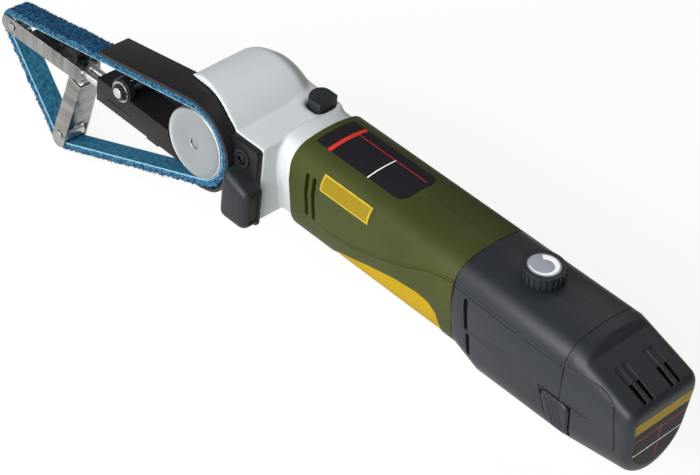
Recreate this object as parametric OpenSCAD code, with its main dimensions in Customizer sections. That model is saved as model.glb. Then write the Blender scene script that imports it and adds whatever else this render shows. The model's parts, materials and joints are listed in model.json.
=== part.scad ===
// Cordless tube belt sander, a hand held power file whose fleece belt runs round an open fork.
// Millimetres. The spindle axis is the design datum: X points to the fork, Y to the belt side, Z up.
// The finished part stands with its origin at the middle of its base.

/* [Belt drive] */
// Inner length of the endless fleece belt
belt_length = 330; // [322:1:338]
// Width of the belt
belt_width = 10; // [8:0.5:11]
// Thickness of backing and pile together
belt_thickness = 3.4; // [2:0.1:3.8]
// Diameter of the drive pulley
pulley_diameter = 32; // [30:0.5:33]
// Width of the drive pulley
pulley_width = 11; // [10:0.5:12]
// Diameter of the two fork rollers
roller_diameter = 8; // [7:0.2:9]
// Distance of the belt's middle plane from the body's middle plane
belt_offset = 28.6; // [28:0.1:30]

/* [Fork] */
// Share of the fork's reach from the front roller back to the lower leg's root
upper_share = 0.3686; // [0.33:0.005:0.4]
// Distance from the root of the lower leg to its roller
lower_leg = 40; // [34:0.5:44]
// Forward lean of the lower leg
leg_lean = 14.5; // [8:0.5:20]
// Outside width of the sheet steel channels
channel_width = 11.4; // [11:0.1:11.8]
// Height of the channel flanges
flange_height = 8; // [7:0.2:9]
// Thickness of the sheet steel
sheet = 1; // [0.8:0.1:1.2]
// Diameter of the guide rods
rod_diameter = 4; // [3.6:0.1:4.1]
// Distance between the guide rods
rod_spacing = 4.6; // [4.5:0.1:4.8]
// Distance that the fork can be pushed back to change the belt
tension_travel = 8; // [4:0.5:8.5]

/* [Arm and belt guard] */
// Depth of the arm's axis below the spindle
arm_drop = 9.2; // [8.6:0.1:10]
// Free length of the guide rods between arm and fork
rod_free = 10.6; // [9.5:0.1:12]
// Height of the arm
arm_height = 11.4; // [10:0.2:12]
// Depth of the arm across the belt
arm_depth = 13.6; // [13:0.1:14]
// Distance that the arm reaches beyond the guard
arm_over = 9.4; // [8:0.2:12]
// Depth of the guard across the belt
guard_depth = 16.4; // [15:0.2:17]
// Wall of the guard
guard_wall = 1.6; // [1.4:0.1:2]
// Running gap between belt and guard
guard_gap = 0.9; // [0.6:0.1:1.2]

/* [Gear head] */
// Radius of the dome at the far side
dome_radius = 26.4; // [26:0.2:28]
// Distance of the far side from the middle plane
head_right = 17; // [16.5:0.5:19]
// Distance of the hood's rim from the middle plane
hood_rim = 28; // [26:0.5:29]
// Wall of the hood round the guard
hood_wall = 1.4; // [1.2:0.1:2]
// Teeth of the bevel gear
gear_teeth = 24; // [24]
// Teeth of the bevel pinion
pinion_teeth = 12; // [12]
// Pitch radius of the bevel gear
gear_radius = 12; // [11.5:0.1:12.5]
// Diameter of the spindle
spindle_diameter = 7; // [6:0.5:7]
// Outside diameter of the spindle bearings
bearing_diameter = 19; // [18:0.5:20]
// Width of the spindle bearings
bearing_width = 6; // [5:0.5:6]

/* [Body] */
// Width of the body
body_width = 42; // [41:0.5:46]
// Height of the body's top above the spindle
body_top = 20; // [19.5:0.5:22]
// Depth of the grip's belly below the spindle
grip_drop = 30.5; // [29:0.5:32]
// Room below the lowest battery cell
belly_room = 8.1; // [7:0.1:9]
// Wall of the plastic shells
shell_wall = 1.8; // [1.6:0.1:2]
// Distance from the spindle to the grip's front end
grip_front = 43; // [42:0.5:45]
// Distance from the spindle to the rear housing
rear_front = 135; // [133:0.5:138]
// Distance from the spindle to the battery's border
battery_front = 192; // [190:0.5:195]
// Depth of the battery's rear wall behind its cells
cell_wall = 6; // [5.5:0.1:8]

/* [Controls] */
// Diameter of the speed knob
knob_diameter = 18.6; // [16:0.2:20]
// Height of the speed knob above the body
knob_height = 5.6; // [4:0.2:7]
// Distance from the spindle to the knob's axis
knob_place = 160; // [158:0.5:163]
// Swing of the paddle at its hinge, in degrees
paddle_swing = 2; // [1.5:0.1:2]
// Travel of the lock button
button_travel = 2.5; // [1.5:0.5:3]
// Travel of the battery latches
latch_travel = 1.2; // [1:0.1:1.3]

/* [Drive and battery] */
// Diameter of the motor
motor_diameter = 30; // [28:0.5:30]
// Length of the motor can
motor_length = 50; // [46:1:51]
// Diameter of the motor shaft
shaft_diameter = 5; // [4:0.5:5]
// Room beside each of the upper battery cells
cell_room = 2.85; // [2.8:0.05:3.2]
// Length of one battery cell
cell_length = 65; // [63:0.5:67]

/* [Fits] */
// Radial clearance of shafts and pins in their holes
fit = 0.05; // [0.02:0.01:0.08]
// Gap between separate pieces that move past each other
gap = 0.4; // [0.3:0.05:0.6]

/* [Hidden] */
// Reach of the cuts that run past every edge
far = 100;
$fn = 64;

// Shared places on the belt side
pulley_r = pulley_diameter / 2;
roller_r = roller_diameter / 2;
belt_clear = 0.3;
belt_outer_r = pulley_r + belt_clear + belt_thickness;
guard_inner_r = belt_outer_r + guard_gap;
guard_outer_r = guard_inner_r + guard_wall;
hood_inner_r = guard_outer_r + gap;
hood_outer_r = hood_inner_r + hood_wall;
face_y = belt_offset - pulley_width / 2 - 4.5;
guard_left = face_y + guard_depth;
pulley_left = belt_offset + pulley_width / 2;
arm_left = face_y + guard_wall + arm_depth;
rod_z = -arm_drop;

// Belt path: three circles in the XZ plane, the fork's reach set so that the belt is just taut
function leg_end(reach) = [
  reach * (1 - upper_share) + lower_leg * sin(leg_lean), rod_z - lower_leg * cos(leg_lean)
];
function wheels(reach, grow) = [
  [0, 0, pulley_r + grow],
  [leg_end(reach)[0], leg_end(reach)[1], roller_r + grow],
  [reach, rod_z, roller_r + grow]
];
function span(a, b) = norm([b[0] - a[0], b[1] - a[1]]);
function lead(a, b) = atan2(b[1] - a[1], b[0] - a[0]) - acos((a[2] - b[2]) / span(a, b));
function turn(a, b, c) = ((lead(b, c) - lead(a, b)) % 360 + 360) % 360;
function loop_length(w) = let (n = len(w)) sum([
  for (i = [0:n - 1])
    let (a = w[(i + n - 1) % n], b = w[i], c = w[(i + 1) % n])
      sqrt(span(b, c) ^ 2 - (b[2] - c[2]) ^ 2) + b[2] * turn(a, b, c) * PI / 180
]);
function sum(v, i = 0) = i < len(v) ? v[i] + sum(v, i + 1) : 0;
function find_reach(low, high, steps) = let (mid = (low + high) / 2)
  steps == 0 ? mid
  : loop_length(wheels(mid, belt_clear)) < belt_length ? find_reach(mid, high, steps - 1)
  : find_reach(low, mid, steps - 1);
reach = find_reach(0.2 * belt_length, 0.5 * belt_length, 24);
leg_x = leg_end(reach)[0];
leg_z = leg_end(reach)[1];
upper_leg = reach * upper_share;
leg_root = reach - upper_leg;
channel_over = 2.4;
arm_front = leg_root - channel_over - rod_free;
guard_front = arm_front - arm_over;

// Outline of the belt loop, grown outwards from its running surface
function loop_points(grow) = let (w = wheels(reach, grow), n = len(w)) [
  for (i = [0:n - 1])
    let (
      a = w[(i + n - 1) % n], b = w[i], c = w[(i + 1) % n],
      start = lead(a, b), sweep = turn(a, b, c), steps = ceil(sweep / 8)
    )
      for (k = [0:steps]) let (angle = start + sweep * k / steps)
        [b[0] + b[2] * cos(angle), b[1] + b[2] * sin(angle)]
];
top_slope = lead(wheels(reach, 0)[2], wheels(reach, 0)[0]) - 90;

// Body section in the YZ plane: crowned top, round shoulders, tapering sides and a round belly
crown_r = 60;
shoulder_r = 10;
belly_r = 18.5;
crease_z = 2;
function arc(c, r, from, to, steps) = [
  for (i = [0:steps]) let (a = from + (to - from) * i / steps) [c[0] + r * cos(a), c[1] + r * sin(a)]
];
function half_section(width, drop, inset, top) = let (
    h = width / 2,
    crown_z = top - crown_r,
    shoulder_y = h - shoulder_r,
    shoulder_z = crown_z + sqrt((crown_r - shoulder_r) ^ 2 - shoulder_y ^ 2),
    meet = atan2(shoulder_z - crown_z, shoulder_y),
    belly_z = belly_r - drop,
    crease = min(crease_z, shoulder_z - 0.1),
    side = atan2(crease - belly_z, h) - acos(belly_r / norm([h, crease - belly_z]))
  ) concat(
    arc([0, belly_z], belly_r - inset, -90, side, 10),
    [[h - inset, crease]],
    arc([shoulder_y, shoulder_z], shoulder_r - inset, 0, meet, 8),
    arc([0, crown_z], crown_r - inset, meet, 90, 3)
  );
module section(width, drop, inset, top = body_top) {
  half = half_section(width, drop, inset, top);
  polygon(concat(half, [for (i = [len(half) - 2:-1:1]) [-half[i][0], half[i][1]]]));
}
// Runs a YZ drawing along X from one place to another
module along(from, to) translate([from, 0, 0]) rotate([90, 0, 90]) linear_extrude(to - from) children();
// Runs an XZ drawing along Y from one place to another
module across(from, to) translate([0, to, 0]) rotate([90, 0, 0]) linear_extrude(to - from) children();
// Round bar along Y or X between two places
module bar_y(r, from, to) translate([0, from, 0]) rotate([-90, 0, 0]) cylinder(r = r, h = to - from);
module bar_x(r, from, to) translate([from, 0, 0]) rotate([0, 90, 0]) cylinder(r = r, h = to - from);
module ring_y(outer, inner, from, to) difference() {
  bar_y(outer, from, to);
  bar_y(inner, from - 1, to + 1);
}
module ring_x(outer, inner, from, to) difference() {
  bar_x(outer, from, to);
  bar_x(inner, from - 1, to + 1);
}
// Rounded bar drawing between two points
module stadium(a, b, r) {
  translate(a) circle(r);
  translate(b) circle(r);
  translate(a) rotate(atan2(b[1] - a[1], b[0] - a[0])) translate([0, -r]) square([norm(b - a), 2 * r]);
}
// Drawing with a round end about the spindle and two straight sides along the belt's top strand
module trough(r, length) rotate(top_slope)
  polygon(concat(arc([0, 0], r, 90, 270, 40), [[length, -r], [length, r]]));
// Coil spring along Z from its base, as one swept tube with straight ends
coil_sides = 6;
coil_rings = 8;
function coil_point(r, pitch, i) = let (angle = 360 * i / coil_rings)
  [r * cos(angle), r * sin(angle), pitch * i / coil_rings];
module coil(r, wire, turns, height) {
  pitch = (height - wire) / turns;
  rings = turns * coil_rings;
  points = [
    for (i = [0:rings], k = [0:coil_sides - 1])
      let (b = 360 * k / coil_sides, p = coil_point(r + wire / 2 * cos(b), pitch, i))
        [p[0], p[1], p[2] + wire / 2 * (1 + sin(b))]
  ];
  sides = [
    for (i = [0:rings - 1], k = [0:coil_sides - 1])
      let (a = i * coil_sides + k, b = i * coil_sides + (k + 1) % coil_sides)
        each [[a, b + coil_sides, a + coil_sides], [a, b, b + coil_sides]]
  ];
  caps = [
    for (k = [1:coil_sides - 2]) let (top = rings * coil_sides)
      each [[0, k + 1, k], [top, top + k, top + k + 1]]
  ];
  polyhedron(points, concat(sides, caps));
}

// Places along the drive
gear_back = gear_radius * pinion_teeth / gear_teeth;
tooth_length = 3.4;
tooth_height = 1.5;
tooth_root = 0.8;
tooth_clear = 0.3;
tooth_width = 0.9;
spindle_r = spindle_diameter / 2;
shaft_r = shaft_diameter / 2;
bearing_r = bearing_diameter / 2;
pinion_bearing_r = 8;
plate_r = 20;
plate_thick = 7;
plate_back = face_y - plate_thick;
chamber_r = 13.4;
arm_screw_r = 1.25;
gear_hub = 3.2;
right_bearing = -gear_back - gear_hub;
collar_inset = 1.8;
spigot = 6;
shaft_tail = 4;
plate_screw_grip = 6;
grip_screw_half = 5;
motor_front = grip_front + 16;
motor_rear = motor_front + motor_length;
motor_r = motor_diameter / 2;
fan_r = motor_r - 0.5;

// Places of the controls and the battery
knob_top = body_top + knob_height;
knob_r = knob_diameter / 2;
knob_stem_r = 3;
button_x = -27;
button_y = -10;
button_z = 17.5;
button_size = 10;
button_top = 22.8;
button_low = 12;
lock_coil_solid = 5.1;
lock_floor = button_low - button_travel - lock_coil_solid;
hinge_x = -68;
hinge_z = -19.8;
hinge_half = 14.8;
pin_r = 1.5;
step_x = -148;
pack_front = 5 - step_x;
cell_inset = 2;
cell_rear = pack_front + cell_inset + cell_length;
battery_rear = cell_rear + cell_wall;
cell_space = 0.15;
cell_r = (body_width / 2 - cell_room - cell_space) / 2;
cell_y = cell_r + cell_space;
cell_high = -3;
cell_low = cell_high - cell_r * sqrt(3) - 2 * cell_space;
rear_drop = cell_r + belly_room - cell_low;
cell_places = [[cell_y, cell_high], [-cell_y, cell_high], [0, cell_low]];
latch_x = [-203, -181.8];
latch_z = [cell_low - 0.86 * cell_r, cell_high - 0.8 * cell_r];
latch_rise = 0.8;
latch_depth = 1.4;
latch_proud = 0.9;
latch_corner = 1.6;

stop_plate = 3;
stop_depth = 9;

// The stand: the datum moves to the middle of the finished part's base
front_x = reach + roller_r + belt_clear + belt_thickness;
left_y = hood_rim + stop_plate + stop_depth;
right_y = -body_width / 2;
low_z = leg_z - roller_r - belt_clear - belt_thickness;
module seat() translate([-(front_x - battery_rear) / 2, -(left_y + right_y) / 2, -low_z]) children();

// Gear head: a drafted dome round the spindle, a block behind it and a collar for the grip
dome_edge = 10;
dome_right = 21.5;
block_left = [-34.4, -22, 34.4, 37];
block_right = [-34.4, -22, 34.4, 40];
hood_front = 8;
hood_low = 2;
plate_screw_ring = 16.2;
screw_r = 1.5;
screw_head_r = 2.75;
module corner_box(b) translate([b[0], b[1]]) square([b[2], b[3]]);
module head_block() hull() {
  across(hood_rim - 0.2, hood_rim) corner_box(block_left);
  across(-head_right, 0.2 - head_right) corner_box(block_right);
}
module head_dome() hull() {
  across(hood_rim - 0.2, hood_rim) circle(hood_outer_r, $fn = 72);
  across(-dome_edge, 0.2 - dome_edge) circle(dome_radius, $fn = 72);
  across(-head_right, 0.2 - head_right) circle(dome_right, $fn = 72);
}
module hood_space(grow) trough(guard_outer_r + grow, dome_radius + 10);
module plate_screw_places() for (i = [0:2]) rotate([0, 120 * i, 0])
  translate([0, 0, plate_screw_ring]) children();
module arm_screw_places() for (s = [-1, 1]) translate([8 * s, 0, tongue_z]) children();
module gear_head() color("silver") seat() difference() {
  union() {
    head_dome();
    head_block();
    along(-grip_front, block_left[0] + 1) section(body_width, grip_drop, collar_inset);
    along(-grip_front - spigot, -grip_front) section(body_width, grip_drop, shell_wall + fit);
  }
  across(face_y, hood_rim + 1) {
    hood_space(gap);
    translate([hood_front, -far]) square([far, 2 * far]);
    translate([hood_low - 20, -far]) square([far, far + hood_low]);
  }
  bar_y(plate_r + fit, plate_back, face_y + 1);
  bar_y(chamber_r, right_bearing, plate_back + 1);
  bar_y(bearing_r + fit, right_bearing - bearing_width, right_bearing + 1);
  bar_x(pinion_bearing_r + fit, -grip_front - spigot - 1, tooth_length - gear_radius + 1);
  bar_x(fan_r + 1, -grip_front - spigot - 1, -grip_front + 2);
  plate_screw_places() bar_y(screw_r + fit, plate_back - plate_screw_grip - gap, plate_back + 1);
  stop_screw_place() bar_y(screw_r + fit, hood_rim - 9, hood_rim + 1);
  translate([button_x, button_y, 0]) button_shape(gap, lock_floor, button_top + 2);
  translate([button_x + 3, button_y, button_z + 5.5]) sphere(6);
}
module bearing_plate() color("gainsboro") seat() difference() {
  bar_y(plate_r, plate_back, face_y);
  bar_y(bearing_r + fit, face_y - bearing_width, face_y + 1);
  bar_y(bearing_r - 3, plate_back - 1, face_y);
  plate_screw_places() {
    bar_y(screw_r + fit, plate_back - 1, face_y);
    bar_y(screw_head_r + fit, face_y - 3, face_y + 1);
  }
  arm_screw_places() bar_y(arm_screw_r + fit, plate_back + 1, face_y + 1);
}
// Socket head screw along Y, its head's face at the given place
module socket_screw(r, head_r, tip, under, face) difference() {
  union() {
    bar_y(r, tip, under + 0.5);
    bar_y(head_r, under, face);
  }
  translate([0, face + 1, 0]) rotate([90, 0, 0])
    cylinder(r = head_r * 0.53, h = 1 + 0.6 * (face - under), $fn = 6);
}
module plate_screws() color("dimgray") seat()
  plate_screw_places() socket_screw(screw_r, screw_head_r, plate_back - plate_screw_grip, face_y - 3, face_y);
module arm_screws() color("dimgray") seat()
  arm_screw_places() socket_screw(arm_screw_r, 2.2, plate_back + 2, tongue_left - 1.3, tongue_left);
module spindle_bearing_left() color("lightgray") seat()
  ring_y(bearing_r, spindle_r + fit, face_y - bearing_width, face_y);
module spindle_bearing_right() color("lightgray") seat()
  ring_y(bearing_r, spindle_r + fit, right_bearing - bearing_width, right_bearing);

// Spindle, bevel gears and pulley
module spindle() color("silver") seat()
  bar_y(spindle_r, right_bearing - bearing_width + 0.5, pulley_left - 0.6);
// Bevel wheel along Z, its pitch cone's tip at the origin and its teeth towards it
module bevel(pitch_r, back, teeth, bore, hub_r, hub) difference() {
  lean = atan2(pitch_r, back);
  root = tooth_height / 2 + tooth_clear;
  union() {
    rotate_extrude() polygon([
      [0, -back - hub], [hub_r, -back - hub], [pitch_r - root, -back - root * 0.6],
      [pitch_r - tooth_length * sin(lean) - root, -back + tooth_length * cos(lean) - root * 0.6],
      [0, -back + tooth_length * cos(lean) - root * 0.6]
    ]);
    for (i = [0:teeth - 1]) rotate(360 * i / teeth)
      translate([pitch_r, 0, -back]) rotate([0, -lean, 0])
        translate([-root - tooth_root, -tooth_width / 2, 0])
          cube([root + tooth_root + tooth_height / 2, tooth_width, tooth_length]);
  }
  translate([0, 0, -back - hub - 1]) cylinder(r = bore, h = back + hub + 2);
}
module bevel_gear() color("darkgray") seat() rotate([-90, 0, 0])
  bevel(gear_radius, gear_back, gear_teeth, spindle_r + fit / 2, gear_radius - 3, gear_hub - 0.4);
module bevel_pinion() color("darkgray") seat() rotate([0, 90, 0]) rotate(180 / pinion_teeth)
  bevel(gear_back, gear_radius, pinion_teeth, shaft_r + fit / 2, gear_back - 0.8, 5);
module drive_pulley() color("lightgray") seat()
  translate([0, belt_offset - pulley_width / 2, 0]) rotate([-90, 0, 0]) rotate_extrude() polygon([
    [spindle_r + fit / 2, 0], [pulley_r - 0.5, 0], [pulley_r, 0.5], [pulley_r, pulley_width - 0.6],
    [pulley_r - 0.4, pulley_width], [pulley_r - 1.2, pulley_width], [pulley_r - 1.8, pulley_width - 0.7],
    [spindle_r + 0.7, pulley_width - 0.3], [spindle_r + fit / 2, pulley_width - 0.7]
  ]);

// Motor and fan
fan_length = 8;
pinion_bearing_width = 5;
blade = 1.2;
can_slot = [4, 8, 3];
brush_tab = [6, 0.8, 4.8];
brush_y = 9;
module motor_shaft() color("silver") seat() bar_x(shaft_r, -motor_rear - shaft_tail, -gear_radius - 1);
module cooling_fan() color("black") seat() {
  ring_x(shaft_r + 3, shaft_r + fit / 2, -motor_front + 2, -grip_front - 1);
  for (i = [0:8]) rotate([40 * i, 0, 0])
    translate([-motor_front + 2.6, -blade / 2, shaft_r + 2.6])
      cube([fan_length, blade, fan_r - shaft_r - 3.4]);
  ring_x(fan_r - 0.8, shaft_r + 2.6, -motor_front + 2, -motor_front + 3);
}
module pinion_bearing() color("lightgray") seat() 
  ring_x(pinion_bearing_r, shaft_r + fit, -grip_front + 2.4, -grip_front + 2.4 + pinion_bearing_width);
module motor_can() color("gray") seat() difference() {
  bar_x(motor_r, -motor_rear, -motor_front);
  bar_x(shaft_r + 0.3, -motor_rear - 1, -motor_front + 1);
  for (s = [0, 180]) rotate([s, 0, 0])
    translate([-motor_front - can_slot[0] - 2, -can_slot[1] / 2, motor_r - can_slot[2] / 2]) cube(can_slot);
}
module motor_end_cap() color("ivory") seat() difference() {
  union() {
    bar_x(motor_r - 1, -motor_rear - 3, -motor_rear);
    for (s = [-1, 1])
      translate([-motor_rear - brush_tab[0] - 2, s * brush_y - brush_tab[1] / 2, -brush_tab[2] / 2])
        cube(brush_tab);
  }
  bar_x(shaft_r + 0.3, -motor_rear - brush_tab[0] - 3, -motor_rear + 1);
}

// Arm, its pin and the belt guard
pulley_space = 0.9;
pin_x = 0.35 * (pulley_r + pulley_space) + 0.65 * arm_front;
pin_z = -1.2;
lug_r = 5.8;
lug_depth = 3;
arm_pin_r = 2.4;
arm_top = rod_z + arm_height / 2;
arm_low = rod_z - arm_height / 2;
tongue_left = belt_offset - pulley_width / 2 - 0.6;
tongue_z = arm_low + 4;
rod_bore = pulley_r + 2;
rod_r = rod_diameter / 2;
module rod_places() for (s = [-1, 1]) translate([0, belt_offset + s * rod_spacing / 2, rod_z]) children();
module belt_arm() color("#222326") seat() difference() {
  union() {
    across(face_y + guard_wall, arm_left) {
      translate([0, arm_low]) square([arm_front, arm_height]);
      translate([22, arm_low - 0.9]) square([7.4, 2]);
    }
    across(arm_left - lug_depth, arm_left) translate([pin_x, pin_z]) circle(lug_r);
    across(face_y + guard_wall, tongue_left) stadium([-10, tongue_z], [24, tongue_z], 4);
  }
  across(tongue_left, arm_left + 1) circle(pulley_r + pulley_space);
  across(face_y, tongue_left + 1) circle(spindle_r + 1.5);
  arm_screw_places() {
    bar_y(arm_screw_r + fit, face_y, tongue_left);
    bar_y(2.2 + fit, tongue_left - 1.3, tongue_left + 1);
  }
  rod_places() bar_x(rod_r + fit, rod_bore, arm_front + 1);
  translate([pin_x, 0, pin_z]) bar_y(arm_pin_r + fit, 0, arm_left + 1);
  across(arm_left - 0.5, arm_left + 1) translate([pin_x - 6.9, rod_z - 1.6]) square([15.4, 0.5]);
}
module arm_pin() color("silver") seat() translate([pin_x, 0, pin_z]) difference() {
  bar_y(arm_pin_r, face_y + guard_wall + 1, arm_left + 2.6);
  ring_y(arm_pin_r + 1, arm_pin_r - 0.5, arm_left + 0.9, arm_left + 1.7);
}
module pin_washer() color("gainsboro") seat() translate([pin_x, 0, pin_z])
  ring_y(lug_r - 0.9, arm_pin_r + fit, arm_left, arm_left + 0.9);
module pin_circlip() color("gray") seat() translate([pin_x, arm_left + 0.9, pin_z]) rotate([-90, 0, 0])
  linear_extrude(0.8) difference() {
    union() {
      circle(3.7);
      for (a = [164, 196]) rotate(a) translate([3.6, 0]) circle(1);
    }
    circle(arm_pin_r - 0.5 + fit);
    for (a = [164, 196]) rotate(a) translate([3.6, 0]) circle(0.4);
    translate([-6, -0.45]) square([6, 0.9]);
  }
// Guard drawing: a band that runs along the top strand, round the pulley and ends below it
module guard_path(r) trough(r, guard_front / cos(top_slope) - r * sin(top_slope));
module guard_band(inner, outer) difference() {
  guard_path(outer);
  guard_path(inner);
  rotate(top_slope) translate([0, -2 * outer]) square([2 * guard_front, 2 * outer]);
  rotate(top_slope) translate([guard_front / cos(top_slope) - inner * sin(top_slope) - 2, -inner])
    square([9, 2 * inner]);
  rotate(-62) translate([0, -2 * outer]) square([outer * 2, 2 * outer]);
}
module belt_guard() color("#1b1b1d") seat() difference() {
  union() {
    across(face_y, guard_left) guard_band(guard_inner_r, guard_outer_r);
    across(face_y, face_y + guard_wall) difference() {
      guard_path(guard_inner_r + 0.2);
      translate([-far, -far]) square([3 * far, far + arm_low + 1]);
    }
  }
  bar_y(bearing_r - 3, face_y - 1, face_y + guard_wall + 1);
  arm_screw_places() bar_y(arm_screw_r + fit, face_y - 1, face_y + guard_wall + 1);
}

// Fleece belt, as it runs under tension
module abrasive_belt() color("#1f5f95") seat()
  across(belt_offset - belt_width / 2, belt_offset + belt_width / 2) difference() {
    polygon(loop_points(belt_clear + belt_thickness));
    polygon(loop_points(belt_clear));
  }

// Fork: channels of bent sheet steel that widen towards the belt
crank = belt_width / 2 + gap;
coil_solid = 5;
rod_back = rod_bore + tension_travel + coil_solid;
rod_seat = 2.6;
block_length = 9.2;
block_wide = channel_width - 2 * sheet - 2 * fit;
block_x = [leg_root - channel_over + 0.2, leg_root - channel_over + 0.2 + block_length];
fork_screw_x = leg_root + 2.6;
module guide_rods() color("silver") seat() rod_places() bar_x(rod_r, rod_back, block_x[0] + rod_seat);
module tension_springs() color("gray") seat() rod_places() translate([rod_bore + 0.2, 0, 0])
  rotate([0, 90, 0]) coil(rod_r - 0.5, 0.6, 7, rod_back - rod_bore - 0.4);
// Plan of one flange along X: it widens slowly from its root to the belt's edge
flare_from = 8;
flare_to = 13.5;
module flange_plan(from, tip) {
  wide = channel_width / 2;
  polygon([
    [from, wide - sheet], [from + flare_from, wide - sheet], [tip - flare_to, crank], [tip, crank],
    [tip, crank + sheet], [tip - flare_to, crank + sheet], [from + flare_from, wide], [from, wide]
  ]);
}
tip_over = 7;
module flange_side(from, tip, height) {
  translate([from, -height / 2]) square([tip - from - height / 2, height]);
  translate([tip - height / 2, 0]) circle(height / 2);
}
module channel(from, tip, height, web) {
  for (s = [0, 1]) mirror([0, s, 0]) intersection() {
    translate([0, 0, -height]) linear_extrude(2 * height) flange_plan(from, tip);
    across(-channel_width, channel_width) flange_side(from, tip, height);
  }
  translate([from, -channel_width / 2, -height / 2]) cube([web - from, channel_width, sheet]);
}
pin_hole = 1.5;
module fork_upper() color("lightgray") seat() translate([reach, belt_offset, rod_z]) difference() {
  channel(-upper_leg - channel_over, tip_over, flange_height, tip_over - 16.5);
  bar_y(pin_hole + fit, -10, 10);
  translate([fork_screw_x - reach, 0, -10]) cylinder(r = 1.6, h = 20);
}
module fork_lower() color("lightgray") seat() translate([leg_x, belt_offset, leg_z])
  rotate([0, 90 - leg_lean, 0]) difference() {
    channel(-lower_leg + flange_height / 2 + 1.2, tip_over, flange_height, tip_over - 13);
    bar_y(pin_hole + fit, -10, 10);
    translate([tip_over - 13, 0, -flange_height]) cylinder(r = 3.2, h = flange_height);
  }
module fork_block() color("gray") seat() difference() {
  translate([block_x[0], belt_offset - block_wide / 2, rod_z - flange_height / 2 + sheet + fit])
    cube([block_length, block_wide, flange_height - sheet - 1.7]);
  rod_places() bar_x(rod_r + fit / 2, block_x[0] - 1, block_x[0] + rod_seat);
  translate([fork_screw_x, belt_offset, rod_z - 10]) cylinder(r = 1.5 + fit, h = 20);
}
module fork_screw() color("#202020") seat() translate([fork_screw_x, belt_offset, rod_z]) difference() {
  union() {
    translate([0, 0, -flange_height / 2 + 0.2]) cylinder(r = 1.5, h = flange_height - 1.4);
    translate([0, 0, flange_height / 2 - 1.5]) cylinder(r = 2.7, h = 2.4);
  }
  translate([0, 0, flange_height / 2 - 0.7]) cylinder(r = 1.4, h = 3, $fn = 6);
}
module roller() color("gainsboro") difference() {
  bar_y(roller_r, -belt_width / 2 - 0.1, belt_width / 2 + 0.1);
  bar_y(pin_hole + fit, -10, 10);
}
module upper_roller() seat() translate([reach, belt_offset, rod_z]) roller();
module lower_roller() seat() translate([leg_x, belt_offset, leg_z]) roller();
module roller_pins() color("silver") seat() for (p = [[reach, rod_z], [leg_x, leg_z]])
  translate([p[0], belt_offset, p[1]]) {
    bar_y(pin_hole, -crank - sheet - 0.4, crank + sheet + 0.4);
    for (s = [-1, 1]) translate([0, s * (crank + sheet + 0.3), 0]) bar_y(pin_hole + 0.5, -0.2, 0.2);
  }

// Hand guard behind the belt: a plate on the head with a stop block on it
stop_x = [-38.4, -22];
stop_z = [-21.4, 4.6];
stop_fall = 5;
plate_back_x = -32.6;
plate_high = 12.8;
stop_screw = [-25.7, 7.4];
module stop_screw_place() translate([stop_screw[0], 0, stop_screw[1]]) children();
module hand_guard() color("#242528") seat() difference() {
  union() {
    across(hood_rim, hood_rim + stop_plate) hull() {
      translate([plate_back_x, stop_z[0] + 4]) circle(1.5);
      translate([stop_x[1] + 4, stop_z[0] + 4]) circle(1.5);
      translate([plate_back_x, plate_high]) circle(1.5);
      translate([stop_x[1] + 4, plate_high]) circle(1.5);
    }
    across(hood_rim + stop_plate - 0.1, left_y) hull() {
      translate([stop_x[0] + 2, stop_z[0] + 3]) circle(2);
      translate([stop_x[1] - 2, stop_z[0] + 3]) circle(2);
      translate([stop_x[0] + 3, stop_z[1] - stop_fall - 3]) circle(3);
      translate([stop_x[1] - 2, stop_z[1] - 2]) circle(2);
    }
    stop_screw_place() bar_y(4.2, hood_rim, hood_rim + stop_plate + 1);
  }
  across(hood_rim - 1, left_y + 1) hood_space(gap);
  stop_screw_place() {
    bar_y(screw_r + fit, hood_rim - 1, left_y);
    bar_y(screw_head_r + fit, hood_rim + stop_plate - 1, left_y + 1);
  }
}
module hand_guard_screw() color("#303030") seat() stop_screw_place()
  socket_screw(screw_r, screw_head_r, hood_rim - 8, hood_rim + stop_plate - 1, hood_rim + stop_plate + 1.6);

// Grip shells with motor cradles, switch seat and paddle opening
paddle_x = [-128, -64];
grip_vents = [-53, -57];
grip_vent_width = 2;
cradle_x = [-68.5, -104];
cradle_low = -6;
module paddle_side(grow) offset(delta = grow) polygon([
  [paddle_x[1], -25.5], [-71, -20], [-88, -14.5], [-104, -10.5], [-116, -9], [-122, -9.8], [-126, -13],
  [paddle_x[0], -19], [paddle_x[0] + 2.4, -40], [paddle_x[1], -40]
]);
module vent(x, z, length, width, lean = 0) across(0, body_width)
  stadium([x, z], [x + lean, z + length], width / 2);
module cradle(x) difference() {
  along(x - 2.5, x) section(body_width, grip_drop, shell_wall - 0.1);
  bar_x(motor_r + fit, x - 3, x + 1);
  translate([x - 5, -far, -far]) cube([10, 2 * far, far + cradle_low]);
}
module grip() difference() {
  union() {
    difference() {
      along(-rear_front, -grip_front) section(body_width, grip_drop, 0);
      along(-rear_front - 1, -grip_front + 1) section(body_width, grip_drop, shell_wall);
    }
    for (x = cradle_x) cradle(x);
  }
  across(-body_width, body_width) paddle_side(gap);
  for (s = [0, 1]) mirror([0, s, 0]) for (x = grip_vents) vent(x, -10, 20.5, grip_vent_width);
  translate([hinge_x, 0, hinge_z]) bar_y(pin_r + fit, -hinge_half, hinge_half);
  for (x = boss_x) translate([x, 0, boss_z]) bar_y(1 + fit, -grip_screw_half - 1, grip_screw_half + 1);
}
module side_of(s) intersection() {
  children();
  translate([-battery_rear - far, s > 0 ? 0 : -far, -far]) cube([battery_rear + 2 * far, far, 2 * far]);
}
boss_x = [for (x = cradle_x) x - 1.25];
boss_z = 17;
switch_x = [-128.5, -118.5];
switch_z = [-6, 4];
switch_half = 3.2;
seat_depth = body_width / 2 - shell_wall - switch_half + 0.2;
spring_x = -98;
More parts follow.
